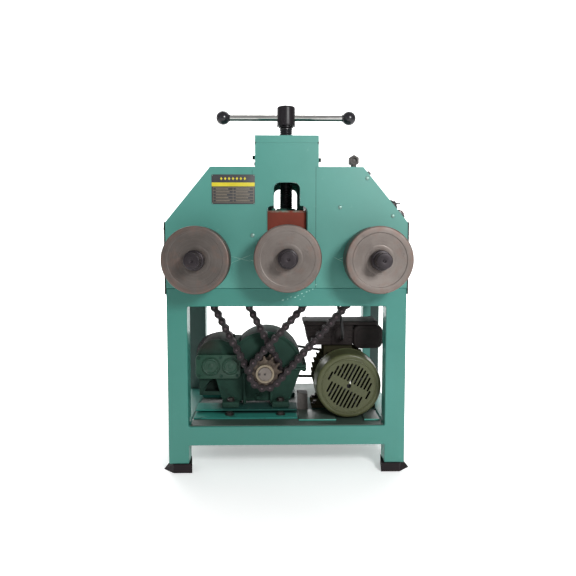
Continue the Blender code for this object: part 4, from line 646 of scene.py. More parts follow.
shapes = []
for x, z in mm((-281, 317), (-281, 259), (-211, 318.5), (-209.5, 257.5), (-158, 317), (-158, 259)):
    shapes += hexagon_head((x, face - 0.014, z), "Y", 0.0085, -0.004)
for turn in range(0, 360, 60):
    x, z = arc((OUTPUT_X, OUTPUT_Z), 0.0395, turn + 15, turn + 15, 0)[0]
    shapes += hexagon_head((x, case_front - 0.007, z), "Y", 0.007, -0.0035)
for y in (case_front + 0.018, middle_y, case_back - 0.018):
    shapes += hexagon_head((0.06, y, OUTPUT_Z + flange), "Z", 0.01, 0.006, 0.001)
    shapes += hexagon_head((0.06, y, OUTPUT_Z - flange), "Z", 0.01, -0.006, 0.001)
shapes += hexagon_head((-0.178, middle_y, 0.3735), "Z", 0.013, 0.006, 0.001)
shapes += hexagon_head(drain, "Y", 0.013, -0.006)
fitted("reducer_bolts", shapes, case_paint, "gearcase_paint")


# Output shaft and double sprocket.
# A hobbed double sprocket in bare steel, keyed to the reducer's slow shaft. Its hub face is clean
# and straw coloured, and its teeth are brown with chain oil.
CHAIN_ROLLER = 0.00825
LINK_PLATE = 0.003
TEETH = 12
TIP_RADIUS = 0.0545
WHEEL_HALF = 0.0072
pitch_radius = PITCH / (2 * math.sin(math.pi / TEETH))
right_turn = math.atan2(OUTER_Z - OUTPUT_Z, ROLLER_X - OUTPUT_X)
left_turn = math.atan2(OUTER_Z - OUTPUT_Z, -ROLLER_X - OUTPUT_X)


def tooth_outline(phase):
    """A round seat at each pin of the pitch circle, and between two seats a tooth whose flanks
    run straight to a short tip arc."""
    outline = []
    for tooth in range(TEETH):
        angle = phase + tooth * 360.0 / TEETH
        pin = arc((0.0, 0.0), pitch_radius, angle, angle, 0)[0]
        outline.append(arc(pin, CHAIN_ROLLER, angle + 247.0, angle + 113.0, 10))
        half = math.degrees(0.0028 / TIP_RADIUS)
        middle = angle + 180.0 / TEETH
        outline.append(arc((0.0, 0.0), TIP_RADIUS, middle - half, middle + half, 2))
    return np.concatenate(outline)


def toothed_wheel(x, z, y, phase):
    """A toothed disc between its two faces, its rims bevelled as a chain needs."""
    return slab(tooth_outline(phase) + (x, z), y - WHEEL_HALF, y + WHEEL_HALF, 0.0016)


wheel_steel = finish(
    "wheel_steel", shades((0.055, 0.04, 0.03), (0.13, 0.1, 0.075)), 30.0, (0.3, 0.48), 600.0, 0.2,
    metallic=0.6, wear=[(55.0, 0.46, 0.62, 0.8, (0.02, 0.013, 0.012), 0.4)],
)
hub_steel = finish(
    "hub_steel", shades((0.22, 0.175, 0.12), (0.34, 0.285, 0.21)), 40.0, (0.35, 0.5), 800.0, 0.1,
    metallic=0.45,
)
over(hub_steel, along(hub_steel, "Y", FRONT + 0.0792, FRONT + 0.0784, 0.85), (0.15, 0.13, 0.122), 0.5)
patches(hub_steel, 110.0, 0.58, 0.68, 0.75, (0.07, 0.05, 0.042), 0.5)
front_wheel_y = FRONT + 0.104
rear_wheel_y = FRONT + 0.139
right_phase = math.degrees(right_turn) + 90.0
left_phase = math.degrees(left_turn) + 90.0
shapes = [
    toothed_wheel(OUTPUT_X, OUTPUT_Z, front_wheel_y, right_phase),
    toothed_wheel(OUTPUT_X, OUTPUT_Z, rear_wheel_y, left_phase),
    disc(0.031, FRONT + 0.112, FRONT + 0.159, (OUTPUT_X, 0.0, OUTPUT_Z), "Y", 64, 0.001),
]
fitted(
    "double_chain_wheel", shapes, wheel_steel, "sprocket_steel", "double_sprocket", body="output_unit",
    sharp=40.0,
)
sleeve = mm(
    (22, 81.2), (22.4, 80), (24, 80), (24.3, 81.2), (25, 81.2), (25.3, 80), (28, 80), (28.8, 81),
    (28.8, 96.8), (22, 96.8),
)
shapes = [spun(sleeve + (0.0, FRONT), (OUTPUT_X, 0.0, OUTPUT_Z), "Y", 72, ring=True)]
bar_end = mm(
    (0, 77.6), (3, 77.6), (3.6, 76.8), (20.5, 76.8), (21.3, 77.8), (21.3, 96), (18.5, 96.4),
    (18.5, 220), (0, 220),
)
shapes.append(spun(bar_end + (0.0, FRONT), (OUTPUT_X, 0.0, OUTPUT_Z), "Y", 64))
fitted("output_hub", shapes, hub_steel, "sprocket_steel", "output_shaft", body="output_unit")
key_black = finish(
    "key_black", shades((0.012, 0.009, 0.009), (0.03, 0.024, 0.022)), 40.0, (0.4, 0.6), 500.0, 0.2,
)
key = brick(
    (OUTPUT_X - 0.0218, FRONT + 0.0764, OUTPUT_Z - 0.0034),
    (OUTPUT_X - 0.014, FRONT + 0.095, OUTPUT_Z + 0.0034), 0.0004,
)
shapes = [key, disc(0.0026, -0.0012, 0.001, (OUTPUT_X, FRONT + 0.0768, OUTPUT_Z), "Y", 24, 0.0004)]
fitted("output_key", shapes, key_black, "sprocket_steel", body="output_unit")


# Belt drive.
# Two cast pulleys turned all over, on the motor's and the reducer's shafts, and a moulded V belt
# with a dull cloth cover that is polished where it runs in the grooves.
BELT_Y = FRONT + 0.372
MOTOR_X = 0.192
MOTOR_Z = 0.249
INPUT_X = -0.2375
INPUT_Z = 0.289


def pulley(x, z, radius, bore):
    """A grooved wheel: rim, flared cheeks, a dished web and a hub."""
    rim = radius + 0.006
    profile = [
        (0.0, 0.0125), (bore + 0.007, 0.0125), (bore + 0.008, 0.0075), (rim * 0.8, 0.006),
        (rim * 0.86, 0.0106), (rim, 0.0106), (rim, 0.0072), (radius + 0.0004, 0.006),
        (radius + 0.0004, -0.006), (rim, -0.0072), (rim, -0.0106), (rim * 0.86, -0.0106),
        (rim * 0.8, -0.006), (bore + 0.008, -0.0075), (bore + 0.007, -0.0106), (0.0, -0.0106),
    ]
    profile = eased(profile, 0.0009, 2, closed=False)
    return spun(profile, (x, BELT_Y, z), "Y", 96)


pulley_steel = finish(
    "pulley_iron", shades((0.035, 0.034, 0.036), (0.075, 0.072, 0.074)), 26.0, (0.35, 0.5), 500.0, 0.25,
    metallic=0.8, wear=[(60.0, 0.6, 0.72, 0.5, (0.06, 0.035, 0.025), 0.7)],
)
shapes = [
    pulley(INPUT_X, INPUT_Z, 0.07, 0.012),
    disc(0.012, FRONT + 0.305, FRONT + 0.389, (INPUT_X, 0.0, INPUT_Z), "Y", 40, 0.001),
]
fitted("reducer_pulley", shapes, pulley_steel, "black_steel", "input_pulley", body="input_unit")
shapes = [
    pulley(MOTOR_X, MOTOR_Z, 0.038, 0.011),
    disc(0.011, FRONT + 0.071, FRONT + 0.389, (MOTOR_X, 0.0, MOTOR_Z), "Y", 40, 0.001),
]
fitted("motor_pulley", shapes, pulley_steel, "black_steel", "motor_shaft", body="motor_rotor")

lean = math.degrees(math.atan2(MOTOR_Z - INPUT_Z, MOTOR_X - INPUT_X))
reach = math.hypot(MOTOR_X - INPUT_X, MOTOR_Z - INPUT_Z)


def belt_line(extra):
    """The loop round both pulleys at a distance from their seats: two arcs and two straight runs."""
    small = 0.038 + extra
    large = 0.07 + extra
    opening = math.degrees(math.acos((large - small) / reach))
    near = arc((MOTOR_X, MOTOR_Z), small, lean - opening, lean + opening, 40)
    far = arc((INPUT_X, INPUT_Z), large, lean + opening, lean - opening + 360.0, 56)
    share = np.linspace(0.0, 1.0, 22)[1:-1, None]
    over_run = near[-1] + (far[0] - near[-1]) * share
    under_run = far[-1] + (near[0] - far[-1]) * share
    return np.concatenate([near, over_run, far, under_run])


belt_section = mm((1, -4.6), (1, 4.6), (8, 6.2), (8.8, 5.6), (8.8, -5.6), (8, -6.2))
rows = []
for extra, offset in belt_section:
    line = belt_line(extra)
    rows.append(turned_to("Y", line[:, 0], line[:, 1], BELT_Y + offset))
belt_cloth = finish(
    "belt_cloth", shades((0.012, 0.012, 0.013), (0.028, 0.027, 0.027)), 40.0, (0.55, 0.75), 900.0, 0.5,
)
fitted("v_belt", [skin(rows, closed_rows=True)], belt_cloth, "belt_rubber", "belt", sharp=40.0)


# Motor housing.
# A finned aluminium housing on two feet, spun end shields at both ends and a flat seat for the
# terminal box, in a dull dark brown-olive enamel, darkened further with painted shade.
MOTOR_AXIS = (MOTOR_X, FRONT, MOTOR_Z)
FINS = 34

motor_enamel = finish(
    "motor_enamel", shades((0.056, 0.061, 0.026), (0.08, 0.086, 0.038), (0.104, 0.109, 0.053)), 6.0,
    (0.32, 0.46), 240.0, 0.12, coat=0.1, specular=0.3,
    wear=[
        (18.0, 0.62, 0.76, 0.35, (0.035, 0.036, 0.02), 0.45),
        (150.0, 0.7, 0.76, 0.5, (0.2, 0.2, 0.14), 0.5),
    ],
)
# Painted shade: the housing's enamel is darker and browner than the cowl's.
body_enamel = finish(
    "motor_body_enamel", shades((0.02, 0.019, 0.011), (0.034, 0.031, 0.018), (0.046, 0.042, 0.025)),
    6.0, (0.55, 0.7), 240.0, 0.15, specular=0.0,
    wear=[(40.0, 0.6, 0.74, 0.5, (0.045, 0.022, 0.018), 0.6)],
)
finger = np.arange(FINS)[:, None] * 360.0 / FINS
share = np.array([0.0, 0.5, 0.6, 0.66, 0.84, 0.9]) * 360.0 / FINS
comb_turn = np.radians((finger + share[None]).ravel())
comb_radius = np.tile([0.0835, 0.0835, 0.0945, 0.096, 0.096, 0.0945], FINS)
# The fins stand further out on the left, above the foot.
leftward = np.clip(-2 * np.cos(comb_turn) - 0.2, 0.0, 1.0)
above_foot = np.clip(2 * np.sin(comb_turn) + 1.5, 0.0, 1.0)
comb_radius += 0.0082 * leftward * above_foot
comb = comb_radius[:, None] * np.stack([np.cos(comb_turn), np.sin(comb_turn)], -1) + (MOTOR_X, MOTOR_Z)
shapes = [slab(comb, FRONT + 0.1375, FRONT + 0.3, 0.0004)]
shield = mm((0, 137.5), (102, 137.5), (102, 148), (98.5, 150), (0, 150))
shapes.append(spun(eased(shield, 0.0012, 3, closed=False), MOTOR_AXIS, "Y", 96))
bell = mm(
    (0, 287), (96.5, 287), (96.5, 303), (90, 312), (64, 323), (60, 329.6), (24, 329.6), (22, 333),
    (0, 333),
)
shapes.append(spun(eased(bell, 0.003, 4, closed=False), MOTOR_AXIS, "Y", 96))
feet_y = (FRONT + 0.165, FRONT + 0.275)
shapes.append(brick((0.084, feet_y[0], feet_z), (0.2927, feet_y[1], feet_z + 0.014), 0.003))
for y in (FRONT + 0.17, FRONT + 0.262):
    for side in (-1.0, 1.0):
        strut = [
            (side * 0.1, feet_z + 0.012), (side * 0.066, feet_z + 0.012), (side * 0.066, feet_z + 0.05),
            (side * 0.072, feet_z + 0.05),
        ]
        strut = eased(np.asarray(strut) + (MOTOR_X, 0.0), 0.003)
        shapes.append(slab(strut, y, y + 0.008, 0.0012))
shapes.append(brick((0.122, feet_y[0], MOTOR_Z), (0.2153, feet_y[1], 0.3536), 0.003))
for turn in range(45, 405, 90):
    x, z = arc((MOTOR_X, MOTOR_Z), 0.088, turn, turn, 0)[0]
    shapes.append(brick(
        (x - 0.008, FRONT + 0.284, z - 0.008), (x + 0.008, FRONT + 0.31, z + 0.008), 0.003,
    ))
    shapes += hexagon_head((x, FRONT + 0.31, z), "Y", 0.009, 0.004, 0.001)
fitted("motor_housing", shapes, body_enamel, "motor_paint", "motor_body")


# Fan cover and fan.
# A pressed sheet cowl with a rolled front edge, a raised ring and two groups of slanting slots, in
# a brighter olive enamel with one small pale mark by the centre hole. The black plastic fan turns
# behind it.
COWL_TILT = math.radians(62.0)
SLOT_STEP = 0.0115
SLOT_REACH = 0.0705
SLOT_WIDTH = 0.0058


def pierced(loops, near, far):
    """A flat sheet between two depths: the first outline filled, with the others cut out of it."""
    curve = bpy.data.curves.new("outline", "CURVE")
    curve.dimensions = "2D"
    curve.fill_mode = "BOTH"
    curve.extrude = (far - near) / 2
    for loop in loops:
        spline = curve.splines.new("POLY")
        spline.points.add(len(loop) - 1)
        flat = np.zeros((len(loop), 4))
        flat[:, :2] = loop
        flat[:, 3] = 1.0
        spline.points.foreach_set("co", flat.ravel())
        spline.use_cyclic_u = True
    drawn = into_scene(bpy.data.objects.new("outline", curve))
    bpy.context.view_layer.update()
    mesh = bpy.data.meshes.new_from_object(drawn.evaluated_get(bpy.context.evaluated_depsgraph_get()))
    bpy.data.objects.remove(drawn, do_unlink=True)
    places = np.zeros(len(mesh.vertices) * 3)
    mesh.vertices.foreach_get("co", places)
    places = places.reshape(-1, 3)
    points = turned_to("Y", places[:, 0], places[:, 1], places[:, 2] + (near + far) / 2)
    return points, [list(polygon.vertices) for polygon in mesh.polygons]


def slot_outline(start, end, height):
    """A slot with round ends, tilted with the grille."""
    half = SLOT_WIDTH / 2
    right_end = arc((end - half, height), half, -90.0, 90.0, 6)
    left_end = arc((start + half, height), half, 90.0, 270.0, 6)
    cosine = math.cos(COWL_TILT)
    sine = math.sin(COWL_TILT)
    turn = np.array([[cosine, sine], [-sine, cosine]])
    return np.concatenate([right_end, left_end]) @ turn + (MOTOR_X, MOTOR_Z)


loops = [
    arc((MOTOR_X, MOTOR_Z), 0.0845, 0.0, 360.0, 96)[:-1],
    arc((MOTOR_X, MOTOR_Z), 0.007, 0.0, 360.0, 24)[:-1],
]
for height in -SLOT_STEP * np.arange(-5.0, 6.0):
    loops.append(slot_outline(0.011, math.sqrt(SLOT_REACH**2 - height**2), height))
for height in -SLOT_STEP * np.arange(-4.5, 5.0):
    loops.append(slot_outline(-math.sqrt(SLOT_REACH**2 - height**2), -0.011, height))
for height in (-0.0655, 0.0655):
    loops.append(slot_outline(-0.0125, 0.0165, height))
shapes = [pierced(loops, FRONT + 0.0545, FRONT + 0.0561)]
skirt_edge = [(0.104, 0.137), (0.1036, 0.13)]
outer_wall = np.concatenate([
    skirt_edge, arc((0.0905, 0.0635), 0.0095, 0.0, -90.0, 12), [(0.0815, 0.054)],
])
inner_wall = mm((81.5, 55.6), (90, 55.7), (96, 59), (98.3, 64), (102, 137))
cowl_wall = np.concatenate([outer_wall, inner_wall])
shapes.append(spun(cowl_wall, MOTOR_AXIS, "Y", 128, ring=True))
emboss = arc((0.083, 0.0546), 0.0026, 0.0, 360.0, 12)[:-1]
shapes.append(spun(emboss, MOTOR_AXIS, "Y", 128, ring=True))
swage = arc((0.1032, 0.1255), 0.0014, 0.0, 360.0, 10)[:-1]
shapes.append(spun(swage, MOTOR_AXIS, "Y", 128, ring=True))
fitted("fan_cowl", shapes, motor_enamel, "motor_paint", "fan_cover", sharp=28.0)
shapes = []
for turn in (20, 140, 260):
    path = np.concatenate([arc((MOTOR_X, MOTOR_Z), radius, turn, turn, 0) for radius in (0.102, 0.106)])
    shapes.append(tube(turned_to("Y", path[:, 0], path[:, 1], FRONT + 0.1315), 0.0034, 16))
fitted("cowl_screws", shapes, bolt_steel, "motor_paint")
# A small pale mark just above the centre hole.
pale_mark_outline = mm((3.4, 5.5), (6.2, 8.5), (4.2, 16.5), (1.2, 10.5)) + (MOTOR_X, MOTOR_Z)
pale_mark_finish = finish(
    "pale_mark_finish", shades((0.55, 0.56, 0.52), (0.75, 0.75, 0.72)), 80.0, (0.3, 0.4), 500.0, 0.1,
)
fitted(
    "cowl_pale_mark", [slab(pale_mark_outline, FRONT + 0.0542, FRONT + 0.0548, 0.0001)], pale_mark_finish, "motor_paint",
)
fan_plastic = finish(
    "fan_plastic", shades((0.01, 0.01, 0.011), (0.018, 0.018, 0.019)), 30.0, (0.4, 0.55), 500.0, 0.1,
)
coated(fan_plastic, "cooling_fan")


# Terminal box and capacitor cover.
# Two moulded phenolic boxes on top of the motor: a tapered ribbed one with an overhanging lid and
# an arched front panel, and a rounded one for the capacitor, brown-black and a little dusty.
box_plastic = finish(
    "box_plastic", shades((0.024, 0.019, 0.019), (0.04, 0.033, 0.032)), 12.0, (0.45, 0.6), 420.0, 0.12,
    specular=0.08,
)
dust = times(
    box_plastic, blotches(box_plastic, 34.0, 0.45, 0.7, 0.5), along(box_plastic, "Z", 0.38, 0.44),
)
over(box_plastic, dust, (0.06, 0.05, 0.046), 0.7)
box_front = FRONT + 0.184
box_back = FRONT + 0.296
taper = mm((76, 354), (219.5, 354), (219.5, 421.5), (62, 421.5))
shapes = [slab(eased(taper, 0.004), box_front, box_back, 0.003)]
for z in (0.366, 0.378, 0.39, 0.402, 0.413):
    left = 0.076 - 0.014 * (z - 0.354) / 0.067 - 0.0022
    shapes.append(brick((left, box_front - 0.0022, z), (0.2215, box_back + 0.0022, z + 0.0045), 0.0012))
lid = panel(0.057, 0.302, box_front - 0.008, box_back + 0.008, 0.01, 6)
shapes.append(slab(lid, 0.4205, 0.433, 0.0028, "Z"))
arch = np.concatenate([arc((0.176, 0.388), 0.026, 0.0, 180.0, 20), [(0.15, 0.356), (0.202, 0.356)]])
shapes.append(slab(arch, box_front - 0.0055, box_front + 0.004, 0.0018))
arch = np.concatenate([arc((0.176, 0.388), 0.019, 0.0, 180.0, 20), [(0.157, 0.362), (0.195, 0.362)]])
shapes.append(slab(arch, box_front - 0.008, box_front, 0.0015))
gland = mm((0, -19), (5.5, -19), (7.5, -16.5), (9, -15), (9, 4), (0, 4))
shapes.append(spun(eased(gland, 0.001, 2, closed=False), (0.181, box_front, 0.378), "Y", 32))
shapes.append(spun(
    mm((0, -13.5), (10.5, -13.5), (11, -12.8), (11, -8.5), (0, -8.5)), (0.181, box_front, 0.378), "Y",
    6,
))
for x in (0.069, 0.29):
    for y in (box_front + 0.002, box_back - 0.002):
        shapes.append(disc(0.0042, 0.4326, 0.4345, (x, y, 0.0), "Z", 24, 0.0006))
fitted("terminal_box_moulding", shapes, box_plastic, "box_plastic", "terminal_box")
shapes = [slab(panel(0.2199, 0.317, 0.343, 0.4205, 0.022, 10), FRONT + 0.176, box_back, 0.006)]
for y in (0.2, 0.222, 0.244, 0.266):
    shapes.append(slab(
        panel(0.2192, 0.3177, 0.3423, 0.4205, 0.0225, 10), FRONT + y, FRONT + y + 0.004, 0.0008,
    ))
shapes.append(slab(panel(0.232, 0.305, 0.354, 0.409, 0.014, 8), FRONT + 0.1745, FRONT + 0.18, 0.0014))
shapes.append(brick((0.298, FRONT + 0.2, 0.384), (0.3185, FRONT + 0.27, 0.4), 0.002))
fitted("capacitor_cover", shapes, box_plastic, "box_plastic", "capacitor_box")


# Head: plates, tower, bent covers and bearings.
# Ten millimetre plate front and rear, a bent sheet over each shoulder and a thick plate on top of
# the tower, filled at the edges and sprayed in one go. The outer shafts run in bolted flanges.
head_enamel = mint_enamel("head_enamel", MINT_TONES, 0.14)
over(head_enamel, along(head_enamel, "Z", 0.62, 0.5, 0.22), (0.065, 0.235, 0.175))
coated(
    head_enamel, "front_plate", "right_cover_plate", "top_plate", "tower_side_left", "tower_side_right",
)
coated(head_enamel, "head_cover_left", "head_cover_right")
back_enamel = mint_enamel("back_enamel", MINT_TONES, 0.3)
coated(back_enamel, "rear_plate")


def bearing_flange(x, plate_y, sign, reach):
    """A stepped round housing on a plate; the sign is the way it points."""
    profile = [
        (0.0254, -0.0005), (0.0554, -0.0005), (0.0554, 0.01), (0.0535, 0.0122), (0.0375, 0.0122),
        (0.0354, 0.014), (0.0354, reach - 0.0012), (0.0342, reach + 0.0002), (0.0262, reach + 0.0002),
        (0.0254, reach - 0.001),
    ]
    profile = np.asarray(profile) * (1.0, sign)
    shapes = [spun(profile, (x, plate_y, OUTER_Z), "Y", 96, ring=True)]
    for turn in range(45, 405, 90):
        bolt_x, bolt_z = arc((x, OUTER_Z), 0.0455, turn, turn, 0)[0]
        shapes += hexagon_head((bolt_x, plate_y + sign * 0.0122, bolt_z), "Y", 0.009, sign * 0.0045)
    return shapes


shapes = []
for x in (-ROLLER_X, ROLLER_X):
    shapes += bearing_flange(x, FRONT, -1.0, 0.02)
    shapes += bearing_flange(x, FRONT + 0.264, 1.0, 0.018)
fitted("bearing_flanges", shapes, back_enamel, "green_paint")
lubricators = []
for x in (-ROLLER_X, ROLLER_X):
    nipple = mm((0, -2), (4.5, -2), (4.5, 3), (2.4, 4.5), (2.4, 7), (3.4, 8.5), (2.2, 10.5), (0, 10.5))
    lubricators.append(spun(nipple, (x, FRONT + 0.2795, OUTER_Z + 0.035), "Z", 24))
fitted("grease_nipples", lubricators, bolt_steel, "black_steel")


# Seams.
# The plates and bent covers of the head meet in narrow gaps that the spray has left dark. Each gap
# is a thin dark strip that lies in the paint.
gap_black = finish(
    "gap_black", shades((0.006, 0.01, 0.009), (0.014, 0.022, 0.019)), 40.0, (0.6, 0.8), 400.0, 0.2,
    specular=0.2,
)
shapes = [
    brick((0.0838, FRONT - 0.00012, 0.5575), (0.0847, FRONT + 0.002, 0.9088), 0.00005),
    brick((-0.101, FRONT - 0.00012, 0.889), (-0.1002, FRONT + 0.0001, 0.899), 0.00005),
]
for side in (-1.0, 1.0):
    left, right = sorted((side * 0.0928, side * 0.089))
    shapes.append(brick((left, FRONT - 0.0003, 0.9742), (right, FRONT + 0.003, 0.9792), 0.0001))
    left, right = sorted((side * 0.3543, side * 0.3581))
    shapes.append(brick((left, FRONT - 0.0004, 0.5385), (right, FRONT + 0.0012, 0.7495), 0.0001))
fitted("seam_gaps", shapes, gap_black, "green_paint")


# Cover screws.
# Domed and hexagon screws hold the cover plate, the bent covers and the side strips. Some are
# bright, some went through the spray booth, and those on the sides have rusted.
zinc = finish(
    "zinc_plate", shades((0.14, 0.26, 0.225), (0.24, 0.38, 0.335)), 80.0, (0.32, 0.46), 900.0, 0.1,
    metallic=0.4, wear=[(220.0, 0.6, 0.7, 0.5, (0.12, 0.17, 0.15), 0.6)],
)


def pan_head(place, axis, radius, sign):
    """A domed screw head; the sign is the way it points."""
    dome = [
        (0.0, 0.0025), (radius * 0.45, 0.0024), (radius * 0.82, 0.0017), (radius, 0.0004),
        (radius, -0.0004), (0.0, -0.0004),
    ]
    return spun(np.asarray(dome) * (1.0, sign), place, axis, 28)


shapes = []
for x, z in ((0.234, 0.876), (0.155, 0.792), (0.31, 0.767)):
    shapes.append(pan_head((x, FRONT - 0.0002, z), "Y", 0.0058, -1.0))
shapes.append(pan_head((-0.1005, FRONT - 0.0002, 0.7105), "Y", 0.0062, -1.0))
fitted("cover_plate_screws", shapes, zinc, "green_paint")
shapes = []
for y in (0.05, 0.2):
    shapes += hexagon_head((-0.0925, FRONT + y, 0.941), "X", 0.0115, -0.008, 0.001)
    shapes += hexagon_head((0.0925, FRONT + y, 0.934), "X", 0.0115, 0.009, 0.001)
fitted("tower_bolts", shapes, gap_black, "black_steel")
shapes = []
for x, z in mm(
    (-205, 884), (205, 884), (-110, 600), (110, 600), (-330, 600), (330, 600), (-330, 730), (330, 730),
):
    shapes.append(pan_head((x, FRONT + 0.2642, z), "Y", 0.0062, 1.0))
fitted("painted_screws", shapes, head_enamel, "green_paint")
rusty = finish(
    "rusted_zinc", shades((0.12, 0.06, 0.045), (0.26, 0.17, 0.13)), 90.0, (0.5, 0.7), 900.0, 0.4,
    metallic=0.4,
)
shapes = []
for side in (-1.0, 1.0):
    for y in (0.03, 0.132, 0.234):
        shapes += hexagon_head((side * 0.3582, FRONT + y, 0.7305), "X", 0.0095, side * 0.0058)
        shapes.append(pan_head((side * 0.3582, FRONT + y, 0.56), "X", 0.0055, side))
fitted("side_strip_screws", shapes, rusty, "green_paint")


# Slide block.
# A milled steel block on a short boss, brushed with red oxide primer. The mint spray drifted over
# its top edge when the head was painted, and the screw's foot sits in a green collar there.
oxide = finish(
    "red_oxide", shades((0.128, 0.026, 0.015), (0.185, 0.037, 0.022), (0.23, 0.051, 0.031)), 10.0,
    (0.5, 0.7), 300.0, 0.4, specular=0.15,
)
edge_drift = times(oxide, blotches(oxide, 45.0, 0.4, 0.6), along(oxide, "Z", 0.7765, 0.7828))
over(oxide, edge_drift, (0.16, 0.27, 0.22), 0.5)
# Painted shade: the block darkens towards the back, deeper in the head.
over(oxide, along(oxide, "Y", FRONT + 0.06, FRONT + 0.16, 0.7), (0.045, 0.014, 0.01))
coated(oxide, "slide_block")
block_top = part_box("slide_block")[1].z - 0.01
screw_y = FRONT + 0.134
collar = mm((20.6, 0.2), (30.5, 0.2), (30.5, 8.5), (29, 10.4), (22.5, 10.4), (20.6, 8.8))
shapes = [spun(collar + (0.0, block_top), (0.0, screw_y, 0.0), "Z", 64, ring=True)]
for side in (-1.0, 1.0):
    shapes.append(brick(
        (side * 0.0365 - 0.008, screw_y - 0.012, block_top + 0.0002),
        (side * 0.0365 + 0.008, screw_y + 0.012, block_top + 0.0062), 0.0012,
    ))
    shapes += hexagon_head((side * 0.0385, screw_y, block_top + 0.0062), "Z", 0.01, 0.0055, 0.001)
foot_enamel = mint_enamel("collar_enamel", dimmed(MINT_TONES, 0.5, 0.55, 0.5), 0.7)
fitted("screw_collar", shapes, foot_enamel, "green_paint", body="slide_unit")


# Screw, nut and handle.
# A black oxide screw with a trapezoidal thread in a bronze nut, a turned hub with a groove under
# it, and a chromed cross bar through the hub that ends in two black gloss balls.
screw_steel = finish(
    "black_oxide", shades((0.01, 0.009, 0.011), (0.022, 0.02, 0.024)), 22.0, (0.22, 0.38), 600.0, 0.15,
    metallic=0.4, coat=0.3, wear=[(130.0, 0.66, 0.74, 0.4, (0.06, 0.05, 0.05), 0.5)],
)
screw_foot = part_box("screw")[0].z
THREAD_PITCH = 0.006
steps = 36
lift = np.arange(screw_foot + 0.045, 1.04, THREAD_PITCH / 8)
turn = np.arange(steps) / steps
wave = (lift[:, None] / THREAD_PITCH - turn[None]) % 1.0
tooth = np.clip(np.minimum(wave, 1.0 - wave) * 4.0 - 0.5, 0.0, 1.0)
fade = np.clip(np.minimum(lift - lift[0], lift[-1] - lift) / THREAD_PITCH, 0.0, 1.0)[:, None]
radius = 0.0199 - 0.0019 * tooth * fade
angle = turn * 2 * math.pi
thread = np.stack(
    [radius * np.cos(angle), radius * np.sin(angle), np.broadcast_to(lift[:, None], radius.shape)], -1,
)
neck = [(0.0168, 1.0432), (0.0168, 1.0586), (0.0, 1.0586)]
foot = [(0.0, screw_foot), (0.019, screw_foot), (0.0199, screw_foot + 0.001)]
circle = np.stack([np.cos(angle), np.sin(angle), np.zeros(steps)], -1)
low_rows = np.array([radius_here * circle + (0.0, 0.0, z) for radius_here, z in foot])
high_rows = np.array([radius_here * circle + (0.0, 0.0, z) for radius_here, z in neck])
rows = np.concatenate([low_rows, thread, high_rows]) + (0.0, screw_y, 0.0)
fitted(
    "threaded_screw", [skin(rows)], screw_steel, "screw_steel", "screw", body="screw_unit", sharp=50.0,
)
bronze = finish(
    "nut_bronze", shades((0.2, 0.115, 0.04), (0.34, 0.21, 0.085)), 30.0, (0.3, 0.5), 500.0, 0.2,
    metallic=0.85, wear=[(50.0, 0.5, 0.7, 0.6, (0.05, 0.035, 0.02), 0.5)],
)
coated(bronze, "screw_nut")

hub_profile = mm(
    (0, 1107), (24.5, 1107), (27.2, 1105), (28.1, 1103), (28.1, 1050.5), (29, 1050), (29, 1047.5),
    (27.5, 1046.8), (20, 1046.8), (0, 1047.2),
)
shapes = [spun(eased(hub_profile, 0.0014, 3, closed=False), (0.0, screw_y, 0.0), "Z", 96)]
lower_ring = mm((0, 1046.8), (21.5, 1046.8), (22.2, 1046), (22.2, 1043.6), (21, 1042.6), (0, 1042.6))
shapes.append(spun(lower_ring, (0.0, screw_y, 0.0), "Z", 72))
hub_black = finish(
    "hub_black", shades((0.008, 0.006, 0.008), (0.018, 0.014, 0.018)), 18.0, (0.3, 0.44), 500.0, 0.1,
    specular=0.3, wear=[(120.0, 0.66, 0.76, 0.35, (0.1, 0.09, 0.09), 0.5)],
)
fitted("handle_hub_turned", shapes, hub_black, "black_steel", "handle_hub", body="screw_unit")
bar_z = 1.073
chrome = finish(
    "bar_chrome", shades((0.62, 0.61, 0.59), (0.8, 0.79, 0.77)), 30.0, (0.1, 0.2), 900.0, 0.05,
    metallic=1.0, wear=[(160.0, 0.64, 0.74, 0.6, (0.16, 0.14, 0.12), 0.5, (0.2, 1.0, 1.0))],
)
# Painted reflection: the bar's underside takes a green tint from the head below it.
over(chrome, along(chrome, "Z", 1.0705, 1.0665, 0.85), (0.07, 0.11, 0.1), 0.3)
bar_end = 0.185
bar = [(0.0, -bar_end), (0.0098, -bar_end), (0.0098, bar_end), (0.0, bar_end)]
fitted(
    "cross_bar_chromed", [spun(bar, (0.0, screw_y, bar_z), "X", 48)], chrome, "bar_chrome", "cross_bar",
    body="screw_unit",
)
gloss = finish(
    "ball_black", shades((0.009, 0.008, 0.011), (0.016, 0.014, 0.019)), 12.0, (0.22, 0.32), 300.0, 0.03,
    coat=0.15, wear=[(180.0, 0.68, 0.76, 0.4, (0.07, 0.065, 0.07), 0.4)],
)
for name, side in (("left", -1.0), ("right", 1.0)):
    sphere = arc((0.0, 0.0), 0.0214, 0.0, 150.0, 40)
    ball = np.stack([sphere[:, 1], sphere[:, 0] * side], -1)
    collar = [(0.0108, -0.0196 * side), (0.0104, -0.0216 * side), (0.0, -0.0216 * side)]
    ball = np.concatenate([ball, collar])
    fitted(
        "knob_" + name, [spun(ball, (side * 0.1945, screw_y, bar_z), "X", 64)], gloss, "black_plastic",
        "ball_knob_" + name, body="screw_unit",
    )


